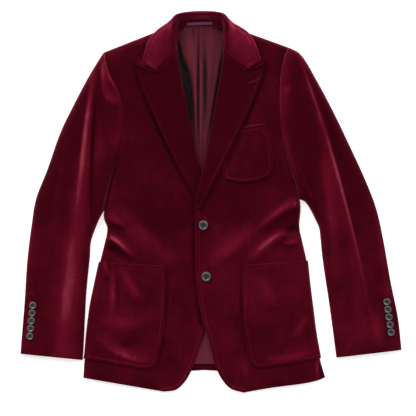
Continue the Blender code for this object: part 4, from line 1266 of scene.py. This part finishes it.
def rods(start, end, normal, thick):
    """Points and faces of many rods at once: rings of a profile carried from start to end."""
    run = end - start
    side = np.cross(run, normal)
    side /= np.linalg.norm(side, axis=1, keepdims=True)
    turn = np.linspace(0, 2 * math.pi, STITCH_SIDES, endpoint=False)
    ring = side[:, None, None] * np.cos(turn)[:, None] + normal[:, None, None] * np.sin(turn)[:, None]
    middle = start[:, None] + run[:, None] * ROD["along"][:, None]
    points = middle[:, :, None] + ring * (thick * ROD["thick"])[:, None, None]
    number = np.arange(points.size // 3).reshape(points.shape[:3])
    ahead = np.roll(number, -1, 2)
    band = np.stack([number[:, :-1], ahead[:, :-1], ahead[:, 1:], number[:, 1:]], -1).reshape(-1, 4)
    caps = number[:, 0, ::-1].tolist() + number[:, -1].tolist()
    return points.reshape(-1, 3), band, caps


def make_stitches(name, points, line, finish=thread_wine):
    """Row of stitches on a face along plan points."""
    step = np.concatenate([[0], np.cumsum(np.hypot(*np.diff(line, axis=0).T))])
    at = np.arange(STITCH_PITCH, step[-1] - STITCH_PITCH, STITCH_PITCH)
    ends = [np.stack([np.interp(at + shift, step, line[:, k]) for k in (0, 1)], 1)
            for shift in (-STITCH_LONG / 2, STITCH_LONG / 2)]
    start, normal = seat_on(points, ends[0][:, 0], ends[0][:, 1])
    end = seat_on(points, ends[1][:, 0], ends[1][:, 1])[0]
    lift = 0.5 * STITCH_THICK * normal
    cords, band, caps = rods(start + lift, end + lift, normal, STITCH_THICK)
    piece = link_mesh(name, cords, band, finish, caps)
    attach(piece, "root")
    print(name, len(at), "stitches")
    return piece


def front_edge(points, low, high):
    """Part of a front's edge between two heights on the jacket."""
    edge = points[:, 0]
    return edge[(edge[:, 1] > low) & (edge[:, 1] < high)]


collar_leaf = collar_points[:, collar_around >= 5]
collar_free = collar_outline[collar_outline[:, 2] > 20]
for name, face, outline in (
        ("stitch_front_right", front_right_points, front_edge(front_right_points, -386, -250)),
        ("stitch_front_left", front_left_points, front_edge(front_left_points, -388, -30)),
        ("stitch_lapel_right", lapel_right_points, lapel_right_outline),
        ("stitch_lapel_left", lapel_left_points, lapel_left_outline),
        ("stitch_collar_right", collar_leaf, collar_free[collar_free[:, 0] < CENTRE_BACK]),
        ("stitch_collar_left", collar_leaf, collar_free[collar_free[:, 0] > CENTRE_BACK]),
        ("stitch_pocket_right", pocket_right_points, pocket_right_outline),
        ("stitch_pocket_left", pocket_left_points, pocket_left_outline),
        ("stitch_breast", breast_points, breast_outline)):
    make_stitches(name, face, inset_line(outline, face, STITCH_IN))

# %% [markdown]
# ## Buttonholes and button threads
# A buttonhole is worked with thread round a slit. It is a cord carried round a long narrow
# loop that lies on the cloth. Each button is held by two bars of thread across its holes.

# %% Buttonholes and button threads
HOLE_HALF_WIDTH = 0.9
CORD = 0.5
BAR_RISE = 2.4


def make_buttonhole(name, points, start, end, finish):
    """Worked buttonhole: a round cord carried along a long loop between two plan points."""
    start = np.array(start, float)
    end = np.array(end, float)
    turn = np.linspace(0, 2 * math.pi, 64, endpoint=False)
    half = (end - start) / 2
    aside = np.array([-half[1], half[0]]) / np.linalg.norm(half) * HOLE_HALF_WIDTH
    bulge = np.sign(np.sin(turn)) * np.abs(np.sin(turn)) ** 0.4
    loop_plan = (start + end) / 2 + np.cos(turn)[:, None] * half + bulge[:, None] * aside
    base, normal = seat_on(points, loop_plan[:, 0], loop_plan[:, 1])
    run = np.roll(base, -1, 0) - np.roll(base, 1, 0)
    side = np.cross(run, normal)
    side /= np.linalg.norm(side, axis=1, keepdims=True)
    ring = np.linspace(0, 2 * math.pi, 8, endpoint=False)
    cord = base[:, None] + CORD * (side[:, None] * np.cos(ring)[:, None]
                                   + normal[:, None] * (0.5 + np.sin(ring))[:, None])
    number = np.arange(64 * 8).reshape(64, 8)
    ahead = np.roll(number, -1, 0)
    band = np.stack([number, np.roll(number, -1, 1), np.roll(ahead, -1, 1), ahead], -1).reshape(-1, 4)
    piece = link_mesh(name, cord.reshape(-1, 3), band, finish)
    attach(piece, "root")
    return piece


make_buttonhole("hole_lapel", lapel_left_points, (79, 246.5), (101, 256), thread_pale)
make_buttonhole("hole_front_1", front_left_points, (-25, -48), (-3, -48), thread_dark)
make_buttonhole("hole_front_2", front_left_points, (-17, -155), (7, -154.5), thread_dark)
for i, t in enumerate(np.linspace(0, 1, 5)):
    x = CUFF_LEFT["place_x"] @ (1 - t, t)
    y = CUFF_LEFT["place_y"] @ (1 - t, t)
    make_buttonhole("hole_cuff_%d" % (i + 1), sleeve_left_points, (x - 14, y + 2), (x + 2, y), thread_dark)

bar_start = []
bar_end = []
bar_normal = []
for seat, axis, right, ahead, radius in button_places:
    for row in (-1, 1):
        middle = seat + axis * BAR_RISE * radius / FRONT_BUTTON + ahead * row * HOLE_PLACE * radius
        bar_start.append(middle - right * 1.25 * HOLE_PLACE * radius)
        bar_end.append(middle + right * 1.25 * HOLE_PLACE * radius)
        bar_normal.append(axis)
bars = rods(np.array(bar_start), np.array(bar_end), np.array(bar_normal), 1.4 * STITCH_THICK)
thread_bars = link_mesh("thread_buttons", bars[0], bars[1], thread_dark, bars[2])
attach(thread_bars, "root")
print("bars of thread:", len(bar_start))

# %% [markdown]
# ## Camera, floor and light
# The camera looks straight down, far enough away that the jacket is hardly drawn in
# perspective. One picture point is about 2.08 mm on the jacket. The floor is a plain pale
# sheet that glows a little, as a light table does, so it keeps almost no shadow. A soft
# white sky gives an even light and three broad lamps give it a direction.

# %% Camera, floor and light
PIXEL = 2.08
IMAGE = 416
CENTRE_X = -6.2
CENTRE_Y = -12.5
CAMERA_HEIGHT = 8000.0
SENSOR = 36.0

camera_data = bpy.data.cameras.new("camera")
camera_data.sensor_width = SENSOR
camera_data.lens = SENSOR * CAMERA_HEIGHT / (PIXEL * IMAGE)
camera_data.clip_end = 40.0
camera = bpy.data.objects.new("camera", camera_data)
camera.location = (CENTRE_X * MM, CENTRE_Y * MM, (CAMERA_HEIGHT + 12) * MM)
bpy.context.collection.objects.link(camera)
bpy.context.scene.camera = camera


def add_lamp(name, bearing, elevation, strength):
    """Broad distant lamp. Its bearing is counted from +X towards +Y, in degrees."""
    data = bpy.data.lights.new(name, "SUN")
    data.energy = strength
    data.angle = math.radians(50)
    lamp = bpy.data.objects.new(name, data)
    lamp.rotation_euler = (0, math.radians(90 - elevation), math.radians(bearing))
    bpy.context.collection.objects.link(lamp)
    return lamp


add_lamp("lamp_key", 120, 32, 2.5)
add_lamp("lamp_fill", 40, 34, 1.3)
add_lamp("lamp_low", 255, 40, 0.5)

world = bpy.data.worlds.new("studio")
bpy.context.scene.world = world
world.use_nodes = True
world.node_tree.nodes["Background"].inputs["Color"].default_value = (1, 1, 1, 1)
world.node_tree.nodes["Background"].inputs["Strength"].default_value = 0.38
bpy.context.scene.view_settings.view_transform = "Standard"

floor_mesh = bpy.data.meshes.new("floor")
floor_corners = [(-6, -6, -0.0006), (6, -6, -0.0006), (6, 6, -0.0006), (-6, 6, -0.0006)]
floor_mesh.from_pydata(floor_corners, [], [(0, 1, 2, 3)])
floor = bpy.data.objects.new("floor", floor_mesh)
bpy.context.collection.objects.link(floor)
floor_finish = bpy.data.materials.new("floor_pale")
floor_finish.use_nodes = True
floor_shader = floor_finish.node_tree.nodes["Principled BSDF"]
floor_shader.inputs["Base Color"].default_value = (0.93, 0.93, 0.93, 1)
floor_shader.inputs["Roughness"].default_value = 0.9
floor_shader.inputs["Emission Color"].default_value = (1, 1, 1, 1)
floor_shader.inputs["Emission Strength"].default_value = 0.5
floor_mesh.materials.append(floor_finish)
